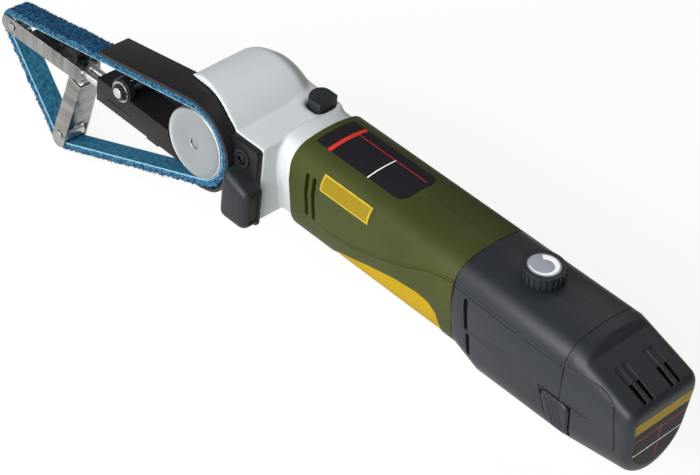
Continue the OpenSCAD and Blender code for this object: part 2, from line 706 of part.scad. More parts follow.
module switch_seat() translate([switch_x[0], switch_half, switch_z[0] + 1])
  cube([switch_x[1] - switch_x[0], seat_depth, switch_z[1] - switch_z[0] - 2]);
module grip_left() color("#4c5a23") seat() {
  side_of(1) grip();
  switch_seat();
}
module grip_right() color("#4c5a23") seat() side_of(-1) grip();
module grip_screws() color("dimgray") seat() for (x = boss_x) translate([x, 0, boss_z])
  bar_y(1, -grip_screw_half, grip_screw_half);

// Rear housing, with its vents as place, height, length and lean
rear_vent_width = 2;
rear_vents = [[-143.2, -7.8, 14, 1.2], [-145, -20.6, 9.6, 0.8]];
module rear_section(inset) section(body_width, rear_drop, inset);
module rear_outer() {
  hull() {
    along(-rear_front - 0.1, -rear_front) section(body_width, grip_drop, 0);
    along(step_x - 0.1, step_x) rear_section(0);
  }
  along(-battery_front, step_x) rear_section(0);
}
// Side drawing of a latch: its front end slants and its top rises to the rear
module latch_side(grow) offset(delta = grow) offset(r = latch_corner) offset(delta = -latch_corner) polygon([
  [latch_x[1], latch_z[1]], [latch_x[0], latch_z[1] + latch_rise], [latch_x[0], latch_z[0] + 1],
  [latch_x[0] + 8, latch_z[0]], [latch_x[1] - 6, latch_z[0] + 4]
]);
module latch_ring(outer, inner) along(latch_x[0] - 1, latch_x[1] + 1) difference() {
  rear_section(-outer);
  rear_section(inner);
  translate([-body_width, -rear_drop]) square([body_width, 2 * rear_drop]);
}
module latch() intersection() {
  latch_ring(latch_proud, latch_depth);
  across(0, body_width) latch_side(0);
}
module latch_notches() for (s = [0, 1]) mirror([0, s, 0]) intersection() {
  latch_ring(latch_proud + 1, latch_depth + latch_travel + gap);
  across(0, body_width) latch_side(gap);
}
module rear_housing() color("#33353a") seat() difference() {
  union() {
    rear_outer();
    along(-rear_front, -rear_front + spigot) section(body_width, grip_drop, shell_wall + fit);
  }
  along(step_x, -rear_front + spigot + 1) section(body_width, grip_drop, 2 * shell_wall);
  along(-battery_front - 1, step_x + 0.1) rear_section(shell_wall);
  translate([-knob_place, 0, 0]) cylinder(r = knob_stem_r + gap, h = 2 * body_top);
  for (s = [0, 1], v = rear_vents) mirror([0, s, 0]) vent(v[0], v[1], v[2], rear_vent_width, v[3]);
  latch_notches();
}

// Paddle switch on its hinge pin
paddle_clear = 0.25;
post_half = 2;
press_gap = 0.6;
paddle_proud = 1.1;
paddle_sink = (hinge_x - paddle_x[0]) * sin(paddle_swing) + paddle_clear + paddle_proud;
post_top = switch_z[0] - (hinge_x - switch_x[0]) * sin(paddle_swing) - press_gap;
paddle_inset = shell_wall + 2 * gap;
paddle_floor = paddle_inset + shell_wall - grip_drop - paddle_sink;
module paddle_section(inset) translate([0, -paddle_sink])
  section(body_width, grip_drop, paddle_inset + inset);
module paddle_switch() color("goldenrod") seat() difference() {
  union() {
    intersection() {
      difference() {
        along(paddle_x[0], paddle_x[1]) paddle_section(0);
        along(paddle_x[0] + 2, paddle_x[1] - 10) paddle_section(shell_wall);
      }
      across(-body_width, body_width) paddle_side(0);
    }
    across(-9, 9) stadium([hinge_x, hinge_z], [hinge_x, hinge_z - 5], 2.6);
    translate([switch_x[0] + 1.5, -post_half, paddle_floor - 0.2])
      cube([2 * post_half, 2 * post_half, post_top - paddle_floor + 0.2]);
  }
  translate([hinge_x, 0, hinge_z]) bar_y(pin_r + fit, -30, 30);
}
module paddle_pin() color("silver") seat() translate([hinge_x, 0, hinge_z])
  bar_y(pin_r, -hinge_half + 0.2, hinge_half - 0.2);
module paddle_spring() color("gray") seat() translate([spring_x, 0, paddle_floor + 0.3])
  coil(2.2, 0.6, 5, -motor_r - paddle_floor - 0.5);
module microswitch() color("#202020") seat()
  translate([switch_x[0], -switch_half, switch_z[0]])
    cube([switch_x[1] - switch_x[0], 2 * switch_half, switch_z[1] - switch_z[0]]);

// Spindle lock button
module button_shape(grow, from, to) translate([0, 0, from]) linear_extrude(to - from)
  offset(delta = grow) {
    translate([-button_size / 2, -button_size / 2]) square([button_size / 2, button_size]);
    circle(button_size / 2);
  }
module lock_button() color("#1c1c1e") seat() translate([button_x, button_y, 0])
  button_shape(0, button_low, button_top);
module lock_spring() color("gray") seat() translate([button_x, button_y, lock_floor + 0.2])
  coil(2.6, 0.7, 4, button_low - lock_floor - 0.4);

// Speed control
board_x = step_x - 2;
board_thick = 1.6;
board_wide = body_width - 2 * shell_wall - 6;
board_z = [-15, body_top - 7];
control_wide = 10;
control_high = 7;
rib = 1;
cap_r = 6.7;
cap_thick = 0.8;
module control_board() color("darkgreen") seat() translate([board_x, -board_wide / 2, board_z[0]])
  cube([board_thick, board_wide, board_z[1] - board_z[0]]);
module speed_control() color("#2d2d30") seat()
  translate([-knob_place - control_wide / 2, -control_wide / 2, body_top - shell_wall - control_high - 0.3])
    cube([control_wide, control_wide, control_high]);
module speed_knob() color("#1a1a1c") seat() translate([-knob_place, 0, body_top + gap]) {
  difference() {
    union() {
      cylinder(r = knob_r - 0.6, h = knob_height - gap);
      translate([0, 0, -shell_wall - gap]) cylinder(r = knob_stem_r, h = shell_wall + gap + 1);
      for (i = [0:23]) rotate(15 * i) translate([knob_r - rib, -rib / 2, 0])
        cube([rib, rib, knob_height - 1.4]);
    }
    translate([0, 0, knob_height - gap - cap_thick]) cylinder(r = cap_r + fit, h = 2);
  }
}
module knob_cap() color("silver") seat() translate([-knob_place, 0, knob_top - cap_thick])
  cylinder(r = cap_r, h = cap_thick);

// Battery
rear_corner = 4.5;
rear_half = 20.2;
lip = 3.4;
lip_step = 2.4;
stem_top = cell_high + cell_r + 1.6;
rear_top = 5.5;
shoulder_over = 5.5;
tail_rise = 4.5;
module battery_profile() {
  translate([-battery_front - lip, -rear_drop]) square([lip, rear_drop + body_top]);
  hull() {
    translate([-battery_front - lip - 1, -rear_drop]) square([1 + lip / 2, rear_drop + body_top - lip_step]);
    translate([-battery_rear + 3, rear_top - 1.5]) circle(3);
    translate([-battery_rear + 4, -rear_drop + 6.5]) circle(4);
  }
}
module battery_plan() hull() {
  for (s = [-1, 1]) translate([-battery_rear + rear_corner, s * (rear_half - rear_corner)])
    circle(rear_corner);
  translate([-battery_front - 1, -body_width / 2]) square([10, body_width]);
}
module battery_outer() intersection() {
  hull() {
    along(-battery_front - lip, -battery_front - gap) rear_section(0);
    along(-battery_rear, 0.1 - battery_rear)
      section(body_width, rear_drop - tail_rise, 0, rear_top + shoulder_over);
  }
  across(-body_width, body_width) battery_profile();
  translate([0, 0, -50]) linear_extrude(100) battery_plan();
}
module battery_case() color("#2b2d31") seat() difference() {
  union() {
    battery_outer();
    along(-battery_front - 1, -pack_front) intersection() {
      rear_section(shell_wall + gap);
      translate([-body_width, -rear_drop]) square([2 * body_width, rear_drop + stem_top]);
    }
  }
  for (p = cell_places) translate([0, p[0], p[1]]) bar_x(cell_r + fit, -cell_rear, -pack_front + 1);
  latch_notches();
}
module battery_cells() color("steelblue") seat()
  for (p = cell_places) translate([0, p[0], p[1]]) bar_x(cell_r, -cell_rear + fit, -pack_front - cell_inset);
module battery_contacts() color("gold") seat() for (y = [-8, 0, 8])
  translate([-pack_front + 0.3, y - 1.5, -10]) cube([board_x + pack_front - 0.3, 3, 0.8]);
module latch_left() color("#26282b") seat() latch();
module latch_right() color("#26282b") seat() mirror([0, 1, 0]) latch();

gear_head();
bearing_plate();
plate_screws();
arm_screws();
spindle_bearing_left();
spindle_bearing_right();
spindle();
bevel_gear();
drive_pulley();
motor_shaft();
bevel_pinion();
cooling_fan();
pinion_bearing();
motor_can();
motor_end_cap();
belt_arm();
arm_pin();
pin_washer();
pin_circlip();
belt_guard();
abrasive_belt();
guide_rods();
tension_springs();
fork_upper();
fork_lower();
fork_block();
fork_screw();
upper_roller();
lower_roller();
roller_pins();
hand_guard();
hand_guard_screw();
grip_left();
grip_right();
grip_screws();
rear_housing();
paddle_switch();
paddle_pin();
paddle_spring();
microswitch();
lock_button();
lock_spring();
control_board();
speed_control();
speed_knob();
knob_cap();
battery_case();
battery_cells();
battery_contacts();
latch_left();
latch_right();
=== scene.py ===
# %% [markdown]
# # A cordless power file
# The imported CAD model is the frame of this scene. Each CAD node already sits in its place, so
# the lesson only dresses it: softer edges, real finishes, and the small pieces that CAD leaves out.

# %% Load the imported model
import json
import math
import random
from contextlib import contextmanager

import bmesh
import bpy
from mathutils import Matrix, Vector, noise
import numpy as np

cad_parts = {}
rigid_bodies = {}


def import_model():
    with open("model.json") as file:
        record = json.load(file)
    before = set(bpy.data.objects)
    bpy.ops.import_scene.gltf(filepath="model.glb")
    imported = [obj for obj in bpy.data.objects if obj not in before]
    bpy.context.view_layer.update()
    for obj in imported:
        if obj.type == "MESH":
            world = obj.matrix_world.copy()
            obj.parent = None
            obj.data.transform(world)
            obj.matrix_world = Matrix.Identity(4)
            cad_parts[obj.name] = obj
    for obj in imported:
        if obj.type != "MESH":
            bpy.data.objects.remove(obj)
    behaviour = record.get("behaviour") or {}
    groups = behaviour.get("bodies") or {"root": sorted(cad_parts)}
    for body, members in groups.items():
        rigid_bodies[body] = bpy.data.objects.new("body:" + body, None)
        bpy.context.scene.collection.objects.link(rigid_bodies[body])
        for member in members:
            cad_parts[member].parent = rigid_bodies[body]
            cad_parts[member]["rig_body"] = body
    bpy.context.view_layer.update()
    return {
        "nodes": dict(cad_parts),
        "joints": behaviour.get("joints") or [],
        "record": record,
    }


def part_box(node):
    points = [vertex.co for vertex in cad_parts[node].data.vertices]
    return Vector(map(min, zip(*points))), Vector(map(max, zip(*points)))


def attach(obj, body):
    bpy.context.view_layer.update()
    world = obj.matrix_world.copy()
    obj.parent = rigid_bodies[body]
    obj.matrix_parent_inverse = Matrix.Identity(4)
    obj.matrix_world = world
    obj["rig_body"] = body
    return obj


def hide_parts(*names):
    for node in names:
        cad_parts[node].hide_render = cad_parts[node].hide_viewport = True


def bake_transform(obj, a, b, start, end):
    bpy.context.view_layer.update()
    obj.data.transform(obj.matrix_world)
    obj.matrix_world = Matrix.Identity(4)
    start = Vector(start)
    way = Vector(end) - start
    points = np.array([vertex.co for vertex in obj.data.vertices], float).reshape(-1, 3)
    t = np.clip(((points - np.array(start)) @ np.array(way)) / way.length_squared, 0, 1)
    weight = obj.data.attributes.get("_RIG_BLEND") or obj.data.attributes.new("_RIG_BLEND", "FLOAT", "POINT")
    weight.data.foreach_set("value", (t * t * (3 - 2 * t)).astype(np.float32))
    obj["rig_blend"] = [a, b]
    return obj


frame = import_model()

nodes = frame["nodes"]
scene = bpy.context.scene
print("loaded", len(nodes), "nodes")

# %% [markdown]
# ## One datum for every piece
# The part's drawing measures from the spindle axis on the body's middle plane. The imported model
# has its origin at the base, so one helper turns drawing millimetres into scene metres.

# %% Datum on the spindle axis
REAR_FACE = Vector((-0.226, 0, -0.012))
rear_mount = next(m for m in frame["record"]["mounts"] if m["name"] == "rear_face")
DATUM = Vector(rear_mount["pos_m"]) - REAR_FACE
joints = {j["name"]: j for j in frame["joints"]}
SIDES = ((1, "left"), (-1, "right"))


def at(x, y, z):
    return DATUM + Vector((x, y, z)) / 1000


def in_drawing(joint):
    place = (Vector(joints[joint]["pos_m"]) - DATUM) * 1000
    return place.x, place.z


def part_way(a, b, share):
    return a + (b - a) * share


print("datum", [round(v, 4) for v in DATUM])

# %% [markdown]
# ## Camera
# The photograph looks down on the tool from its left rear with a long lens. The camera stands at
# the place that was solved from the pulley, the fork and the body's borders in the photograph.

# %% Camera at the photograph's angle
CAMERA_PLACE = (-555.03, 563.04, 598.60)
CAMERA_LOOK = Vector((0.505975, -0.576839, -0.641284))
CAMERA_SIDE = Vector((-0.693761, -0.713937, 0.094812))


def put(name, data):
    piece = bpy.data.objects.new(name, data)
    scene.collection.objects.link(piece)
    return piece


camera_data = bpy.data.cameras.new("photo_camera")
camera_data.sensor_fit = "HORIZONTAL"
camera_data.sensor_width = 36
camera_data.lens = 121.33
camera_data.clip_end = 20
camera = put("photo_camera", camera_data)
camera_axes = Matrix((CAMERA_SIDE, CAMERA_SIDE.cross(CAMERA_LOOK), -CAMERA_LOOK))
camera.matrix_world = Matrix.Translation(at(*CAMERA_PLACE)) @ camera_axes.transposed().to_4x4()
scene.camera = camera
print("camera lens", camera_data.lens)

# %% [markdown]
# ## Node helpers
# A finish is a small graph of nodes, and the same few nodes come back in each. They are written
# once here: a node with its settings, a wire, a sum, a mix of colours, noise, a colour ramp, and
# a relief.

# %% Node helpers
def add_node(tree, kind, inputs=None, **settings):
    node = tree.nodes.new(kind)
    for key, value in settings.items():
        setattr(node, key, value)
    for key, value in (inputs or {}).items():
        node.inputs[key].default_value = value
    return node


def wire(source, target):
    source.id_data.links.new(source, target)


def feed(value, socket):
    if isinstance(value, bpy.types.NodeSocket):
        wire(value, socket)
    else:
        socket.default_value = value


def calc(tree, operation, first, second, clamp=False):
    node = add_node(tree, "ShaderNodeMath", operation=operation, use_clamp=clamp)
    feed(first, node.inputs[0])
    feed(second, node.inputs[1])
    return node.outputs[0]


def mix_color(tree, factor, first, second):
    node = add_node(tree, "ShaderNodeMix", data_type="RGBA")
    for value, socket in ((factor, "Factor"), (first, 6), (second, 7)):
        feed(value, node.inputs[socket])
    return node.outputs[2]


def object_noise(tree, scale, detail=2.0, stretch=(1, 1, 1)):
    coords = add_node(tree, "ShaderNodeTexCoord")
    mapping = add_node(tree, "ShaderNodeMapping", {"Scale": stretch})
    grain = add_node(tree, "ShaderNodeTexNoise", {"Scale": scale, "Detail": detail})
    wire(coords.outputs["Object"], mapping.inputs["Vector"])
    wire(mapping.outputs["Vector"], grain.inputs["Vector"])
    return grain.outputs["Fac"]


def ramp(tree, source, low, high, low_color, high_color):
    stops = add_node(tree, "ShaderNodeValToRGB")
    stops.color_ramp.elements[0].position = low
    stops.color_ramp.elements[1].position = high
    stops.color_ramp.elements[0].color = (*low_color, 1)
    stops.color_ramp.elements[1].color = (*high_color, 1)
    wire(source, stops.inputs["Fac"])
    return stops.outputs["Color"]


def spread(tree, source, low, high):
    limits = {"From Min": 0.3, "From Max": 0.7, "To Min": low, "To Max": high}
    node = add_node(tree, "ShaderNodeMapRange", limits)
    wire(source, node.inputs["Value"])
    return node.outputs["Result"]


def relief(tree, bsdf, source, strength, depth):
    bump = add_node(tree, "ShaderNodeBump", {"Strength": strength, "Distance": depth})
    wire(source, bump.inputs["Height"])
    wire(bump.outputs["Normal"], bsdf.inputs["Normal"])


def shade(color, factor):
    return tuple(min(1.0, c * factor) for c in color)


def tint(tree, source, color, tones, limits=(0.3, 0.7)):
    dark, light = (shade(color, tone) for tone in tones)
    return ramp(tree, source, *limits, dark, light)


def new_finish(name, inputs):
    finish = bpy.data.materials.new(name)
    finish.use_nodes = True
    bsdf = finish.node_tree.nodes["Principled BSDF"]
    for key, value in inputs.items():
        bsdf.inputs[key].default_value = value
    return finish, finish.node_tree, bsdf


# %% [markdown]
# ## Floor and light
# A pale floor and big soft lamps give the even light of a catalogue picture. The strongest lamp
# stands on the belt side, so the pulley's face and the grip's side are lit and the top is darker.

# %% Floor
FLOOR_SIZE, FLOOR_GLOW, SKY_LEVEL = 8, 0.86, 0.20
bpy.ops.object.select_all(action="DESELECT")
bpy.ops.mesh.primitive_plane_add(size=FLOOR_SIZE, location=(0, 0, 0))
floor = bpy.context.active_object
floor.name = "floor"
floor_look = {"Base Color": (0.90, 0.90, 0.895, 1), "Roughness": 0.9, "Specular IOR Level": 0.1}
floor_finish, floor_tree, floor_bsdf = new_finish("pale_floor", floor_look)
paper = add_node(floor_tree, "ShaderNodeEmission", {"Color": (1, 1, 0.992, 1), "Strength": 1.0})
rays = add_node(floor_tree, "ShaderNodeLightPath").outputs
seen = calc(floor_tree, "ADD", rays["Is Camera Ray"], rays["Is Glossy Ray"], True)
seen = calc(floor_tree, "ADD", seen, rays["Is Transmission Ray"], True)
blend = add_node(floor_tree, "ShaderNodeMixShader")
wire(calc(floor_tree, "MULTIPLY", seen, FLOOR_GLOW), blend.inputs["Fac"])
wire(floor_bsdf.outputs["BSDF"], blend.inputs[1])
wire(paper.outputs["Emission"], blend.inputs[2])
wire(blend.outputs["Shader"], floor_tree.nodes["Material Output"].inputs["Surface"])
floor.data.materials.append(floor_finish)
print("floor", floor.name)

# %% World and lamps
scene.view_settings.view_transform = "Standard"
world = bpy.data.worlds.new("studio")
scene.world = world
world.use_nodes = True
sky = world.node_tree.nodes["Background"]
sky.inputs["Color"].default_value = (1, 1, 1, 1)
sky.inputs["Strength"].default_value = SKY_LEVEL
LAMP_TARGET = Vector((0, 0, 0.04))


def softbox(name, place, size, power):
    data = bpy.data.lights.new(name, "AREA")
    data.shape = "RECTANGLE"
    data.size, data.size_y = size
    data.energy = power
    lamp = put(name, data)
    aim = (LAMP_TARGET - Vector(place)).to_track_quat("-Z", "Y")
    lamp.matrix_world = Matrix.Translation(place) @ aim.to_matrix().to_4x4()


softbox("key", (-0.30, 1.42, 0.68), (1.5, 1.0), 48)
softbox("fill", (0.62, 0.86, 0.80), (0.9, 0.9), 9)
softbox("back", (0.10, -0.95, 1.15), (0.9, 0.9), 3.5)

# %% [markdown]
# ## Finishes
# Every finish is built from noise on Object coordinates, which are metres here. A high scale gives
# the fine grain of moulded plastic or blasted metal, a low one gives slow changes of tone.

# %% Moulded plastic and painted casting
def moulded(name, color, roughness, specular=0.3, grain=2600, depth=0.00003, tone=0.10):
    finish, tree, bsdf = new_finish(name, {"Specular IOR Level": specular})
    slow = object_noise(tree, 45, 4)
    wire(tint(tree, slow, color, (1 - tone, 1 + tone)), bsdf.inputs["Base Color"])
    fine = object_noise(tree, grain, 2)
    wire(spread(tree, fine, roughness - 0.06, roughness + 0.06), bsdf.inputs["Roughness"])
    relief(tree, bsdf, fine, 0.35, depth)
    return finish


GREEN = moulded("olive_grip_plastic", (0.036, 0.0425, 0.0115), 0.50, 0.08)
DARK = moulded("charcoal_housing_plastic", (0.0122, 0.0145, 0.0178), 0.44, 0.285, tone=0.05)
BLACK = moulded("black_moulding", (0.0110, 0.0130, 0.0155), 0.44, 0.26)
YELLOW = moulded("yellow_paddle_plastic", (0.285, 0.188, 0.009), 0.52, 0.03, tone=0.04)
CAST = moulded("grey_painted_casting", (0.425, 0.450, 0.462), 0.54, 0.10, 1500, 0.00005, 0.03)
COATED = moulded("black_coated_steel", (0.0072, 0.0072, 0.0084), 0.44, 0.26, 3200, 0.00002)
BOARD = moulded("board_green", (0.02, 0.11, 0.05), 0.5)
WHITE = moulded("end_cap_white", (0.62, 0.60, 0.54), 0.5)
CELL = moulded("cell_wrap", (0.016, 0.018, 0.021), 0.40)
DISC = moulded("knob_disc_grey", (0.235, 0.262, 0.290), 0.42, 0.2, tone=0.05)
PRINT = moulded("knob_mark_white", (0.74, 0.75, 0.76), 0.45, 0.2, tone=0.03)
# Painted shade: a near-black finish for the insides of slots, gaps, grooves and seams.
GAP_SHADE = moulded("groove_black", (0.0035, 0.0038, 0.0042), 0.6, 0.1)
# Painted shade: a darker olive for the line of shade under the grip's raised crease.
CREASE_SHADE = moulded("olive_crease", (0.014, 0.017, 0.0045), 0.6, 0.05)


# %% Metals
# The strong bands on the sheet metals are brushing streaks and also painted reflection bands.
EVEN, STREAKS_AND_REFLECTION_BANDS = (0.86, 1.08), (0.55, 1.30)


def metal(name, color, roughness, stretch=(1, 1, 1), scale=2600, depth=0.000002, tones=EVEN):
    finish, tree, bsdf = new_finish(name, {"Metallic": 1.0})
    streak = object_noise(tree, scale, 4, stretch)
    wire(tint(tree, streak, color, tones), bsdf.inputs["Base Color"])
    wire(spread(tree, streak, roughness - 0.07, roughness + 0.09), bsdf.inputs["Roughness"])
    relief(tree, bsdf, streak, 0.25, depth)
    return finish


STEEL = metal("ground_steel", (0.42, 0.42, 0.43), 0.30)
RODS = metal("polished_rods", (0.66, 0.66, 0.67), 0.33, (0.05, 1, 1))
SHEET_ARM = metal(
    "brushed_stainless_arm", (0.32, 0.316, 0.303), 0.27, (1.0, 0.12, 0.12), 230, 0.000003, STREAKS_AND_REFLECTION_BANDS
)
SHEET_LEG = metal(
    "brushed_stainless_leg", (0.31, 0.306, 0.293), 0.27, (0.12, 0.12, 1.0), 200, 0.000003, STREAKS_AND_REFLECTION_BANDS
)
SCREW = metal("blackened_screw", (0.035, 0.035, 0.038), 0.35)
BRASS = metal("contact_brass", (0.78, 0.58, 0.24), 0.3)


def turned(name, color, centre):
    look = {"Metallic": 1.0, "Roughness": 0.46, "Anisotropic": 0.9, "Anisotropic Rotation": 0.25}
    finish, tree, bsdf = new_finish(name, look)
    coords = add_node(tree, "ShaderNodeTexCoord")
    mapping = add_node(tree, "ShaderNodeMapping", {"Location": tuple(-c for c in centre)})
    marks = {"Scale": 330, "Distortion": 0.5, "Detail": 2, "Detail Scale": 2.0}
    rings = add_node(tree, "ShaderNodeTexWave", marks, wave_type="RINGS", rings_direction="Y")
    wire(coords.outputs["Object"], mapping.inputs["Vector"])
    wire(mapping.outputs["Vector"], rings.inputs["Vector"])
    fac = rings.outputs["Fac"]
    wire(tint(tree, fac, color, (0.95, 1.06), (0.0, 1.0)), bsdf.inputs["Base Color"])
    round_way = add_node(tree, "ShaderNodeTangent", direction_type="UV_MAP")
    wire(round_way.outputs["Tangent"], bsdf.inputs["Tangent"])
    relief(tree, bsdf, fac, 0.10, 0.00001)
    return finish


TURNED = turned("turned_aluminium", (0.375, 0.40, 0.41), at(0, 0, 0))
print("finishes", len(bpy.data.materials))

# %% [markdown]
# ## Dressing the CAD nodes
# Real mouldings and castings have no razor edges. A copy of each visible node is welded, its flat
# faces are joined, its sharp edges are picked by angle and rounded with a Bevel modifier, and the
# copy then stands for the node. The two grip halves meet at a seam that is left sharp and flush.

# %% Helpers that act as by hand
def select_only(piece):
    bpy.ops.object.select_all(action="DESELECT")
    piece.select_set(True)
    bpy.context.view_layer.objects.active = piece


@contextmanager
def edit_mode(piece):
    select_only(piece)
    bpy.ops.object.mode_set(mode="EDIT")
    bpy.ops.mesh.select_all(action="SELECT")
    yield
    bpy.ops.object.mode_set(mode="OBJECT")


def smooth(piece, angle):
    select_only(piece)
    bpy.ops.object.shade_smooth_by_angle(angle=math.radians(angle))


def apply(piece, kind, **settings):
    modifier = piece.modifiers.new(kind.lower(), kind)
    for key, value in settings.items():
        setattr(modifier, key, value)
    select_only(piece)
    bpy.ops.object.modifier_apply(modifier=modifier.name)


def body_of_node(name):
    return nodes[name]["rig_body"]


def paint(piece, finish):
    piece.data.materials.clear()
    piece.data.materials.append(finish)
    piece.data.polygons.foreach_set("material_index", [0] * len(piece.data.polygons))


def settle(piece, finish, body):
    paint(piece, finish)
    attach(piece, body)
    return piece


def round_edges(piece, width, limit, keep_sharp=None, segments=3):
    mesh = piece.data
    weld = bmesh.new()
    weld.from_mesh(mesh)
    layers = weld.edges.layers.float
    layer = layers.get("bevel_weight_edge") or layers.new("bevel_weight_edge")
    for edge in weld.edges:
        sharp = len(edge.link_faces) == 2 and edge.calc_face_angle(0) >= math.radians(limit)
        kept = keep_sharp and keep_sharp(edge)
        edge[layer] = 1.0 if sharp and not kept else 0.0
    weld.to_mesh(mesh)
    weld.free()
    apply(piece, "BEVEL", width=width / 1000, segments=segments, limit_method="WEIGHT")


def copy_of(node, name):
    piece = put(name, nodes[node].data.copy())
    with edit_mode(piece):
        bpy.ops.mesh.remove_doubles(threshold=0.000002)
        bpy.ops.mesh.dissolve_limited(angle_limit=math.radians(0.6))
    return piece


def slice_off(piece, place, way, **sides):
    with edit_mode(piece):
        bpy.ops.mesh.bisect(plane_co=place, plane_no=way, use_fill=True, **sides)


def dress(node, finish, width, limit=32, keep_sharp=None, shape=None, angle=35):
    piece = copy_of(node, node + "_dressed")
    if shape:
        shape(piece)
    if width:
        round_edges(piece, width, limit, keep_sharp)
    smooth(piece, angle)
    settle(piece, finish, body_of_node(node))
    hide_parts(node)
    return piece


def on_seam(edge):
    return all(abs(v.co.y - DATUM.y) < 0.00005 for v in edge.verts)


def combine(piece, tool, operation):
    apply(piece, "BOOLEAN", operation=operation, solver="EXACT", object=tool)
    bpy.data.objects.remove(tool)


def box_between(low, high):
    bpy.ops.object.select_all(action="DESELECT")
    bpy.ops.mesh.primitive_cube_add(size=1, location=[(a + b) / 2 for a, b in zip(low, high)])
    box = bpy.context.active_object
    box.scale = [b - a for a, b in zip(low, high)]
    bpy.ops.object.transform_apply(location=True, rotation=True, scale=True)
    return box


# %% Dress the visible nodes
WIDTHS = {
    "belt_guard": (COATED, 0.3), "belt_arm": (COATED, 0.3),
    "rear_housing": (DARK, 0.35),
    "paddle_switch": (YELLOW, 0.4), "speed_knob": (BLACK, 0.3), "knob_cap": (DISC, 0.15),
    "spindle": (STEEL, 0.3), "fork_upper": (SHEET_ARM, 0.18),
    "fork_lower": (SHEET_LEG, 0.18), "fork_block": (STEEL, 0.2), "fork_screw": (SCREW, 0.15),
    "hand_guard_screw": (SCREW, 0.18), "guide_rods": (RODS, 0.2), "upper_roller": (RODS, 0.25),
    "lower_roller": (RODS, 0.25), "roller_pins": (STEEL, 0.2), "arm_pin": (RODS, 0.25),
    "pin_washer": (STEEL, 0.12), "pin_circlip": (SCREW, 0.1),
}
dressed = {}
for node_name, (node_finish, edge_width) in WIDTHS.items():
    dressed[node_name] = dress(node_name, node_finish, edge_width)
for half in ("grip_left", "grip_right"):
    dressed[half] = dress(half, GREEN, 0.35, keep_sharp=on_seam)
print("dressed", len(dressed))

# %% [markdown]
# ## Gear head
# The head is a painted die casting, and molten metal never fills a sharp corner. Its hood has a
# slanted rim that reaches forward over the belt guard. That lip is the convex hull of two arcs,
# with the guard's room cut away, and it is joined to the CAD copy. A voxel Remesh then gives the
# casting an even skin, and a Smooth modifier melts its edges, as the die's radii do.

# %% Lip of the hood
PULLEY_R, ROLLER_R, BACKING_LIFT = 16.0, 4.0, 0.3
DOME_R, DOME_Y, HOOD_R, HOOD_SWELL, GUARD_ROOM_R = 26.4, -10.0, 24.0, 2.0, 22.6
RIM_Y, RIM_SLANT, SWELL_FROM, SWELL_SPAN = 25.5, 0.207, 100, 35
ROOM_Y, ROOM_REACH = (-40, 60), 80


def clamp(value):
    return min(1.0, max(0.0, value))


def ease(value):
    t = clamp(value)
    return t * t * (3 - 2 * t)


def tangent_angle(a, b):
    run = math.hypot(b[0] - a[0], b[1] - a[1])
    return math.atan2(b[1] - a[1], b[0] - a[0]) - math.acos((a[2] - b[2]) / run)


def round_axis(r, angle, y):
    return r * math.cos(angle), y, r * math.sin(angle)


def hull_of(name, spots):
    piece = put(name, bpy.data.meshes.new(name))
    piece.data.from_pydata([at(*spot) for spot in spots], [], [])
    with edit_mode(piece):
        bpy.ops.mesh.convex_hull()
    return piece


def hood_lip():
    spots = [round_axis(DOME_R, math.radians(angle), DOME_Y) for angle in range(20, 151, 5)]
    for angle in range(36, 117, 5):
        r = HOOD_R + HOOD_SWELL * clamp((SWELL_FROM - angle) / SWELL_SPAN)
        x, y, z = round_axis(r, math.radians(angle), 0)
        spots.append((x, RIM_Y - RIM_SLANT * x, z))
    lip = hull_of("hood_lip", spots)
    front = (*in_drawing("front_roller_spin"), ROLLER_R)
    top = tangent_angle(front, (0, 0, PULLEY_R))
    room = []
    for y in ROOM_Y:
        room += [round_axis(GUARD_ROOM_R, top + math.pi * i / 48, y) for i in range(49)]
        for turn in (top, top + math.pi):
            x, _, z = round_axis(GUARD_ROOM_R, turn, y)
            room.append((x + ROOM_REACH * math.sin(top), y, z - ROOM_REACH * math.cos(top)))
    combine(lip, hull_of("guard_room", room), "DIFFERENCE")
    return lip


# %% Cast head
HEAD_VOXEL, HEAD_TURNS, CREASE_TURNS = 0.5, 5, 120
CREASE_R, CREASE_FADE, CREASE_SPAN, CREASE_FLOOR = 18, 4, 7, -6


def soften(piece, turns, group=""):
    apply(piece, "SMOOTH", factor=0.5, iterations=turns, vertex_group=group)


def cast_head(piece):
    slice_off(piece, at(0, RIM_Y, 0), (RIM_SLANT, 1, 0), clear_outer=True)
    combine(piece, hood_lip(), "UNION")
    apply(piece, "REMESH", mode="VOXEL", voxel_size=HEAD_VOXEL / 1000)
    soften(piece, HEAD_TURNS)
    crease = piece.vertex_groups.new(name="dome_crease")
    for vert in piece.data.vertices:
        x, y, z = (vert.co - DATUM) * 1000
        share = ease((math.hypot(x, z) - CREASE_R) / CREASE_FADE)
        share *= ease(1.6 - abs(y - DOME_Y) / CREASE_SPAN)
        if share > 0 and z > CREASE_FLOOR:
            crease.add([vert.index], share, "REPLACE")
    soften(piece, CREASE_TURNS, crease.name)


dressed["gear_head"] = dress("gear_head", CAST, 0, shape=cast_head, angle=180)
print("head faces", len(dressed["gear_head"].data.polygons))

# %% [markdown]
# ## Lock button
# The spindle lock is a thumb button with a round front. Its top is dished and leans down towards
# the thumb, so the top face of the CAD copy is inset and sunk, and then its points are lowered.

# %% Dished lock button
BUTTON_NEAR, BUTTON_FAR, BUTTON_LEAN, BUTTON_LOWER = -5.0, -15.0, 1.6, 0.8
DISH_RIM, DISH_DEPTH = 1.1, -0.5


def inset_faces(piece, picked, thickness, depth):
    select_only(piece)
    bpy.ops.object.mode_set(mode="EDIT")
    bpy.ops.mesh.select_mode(type="FACE")
    bpy.ops.mesh.select_all(action="DESELECT")
    bpy.ops.object.mode_set(mode="OBJECT")
    for face in piece.data.polygons:
        face.select = picked(face)
    bpy.ops.object.mode_set(mode="EDIT")
    bpy.ops.mesh.inset(thickness=thickness / 1000, depth=depth / 1000)
    bpy.ops.object.mode_set(mode="OBJECT")


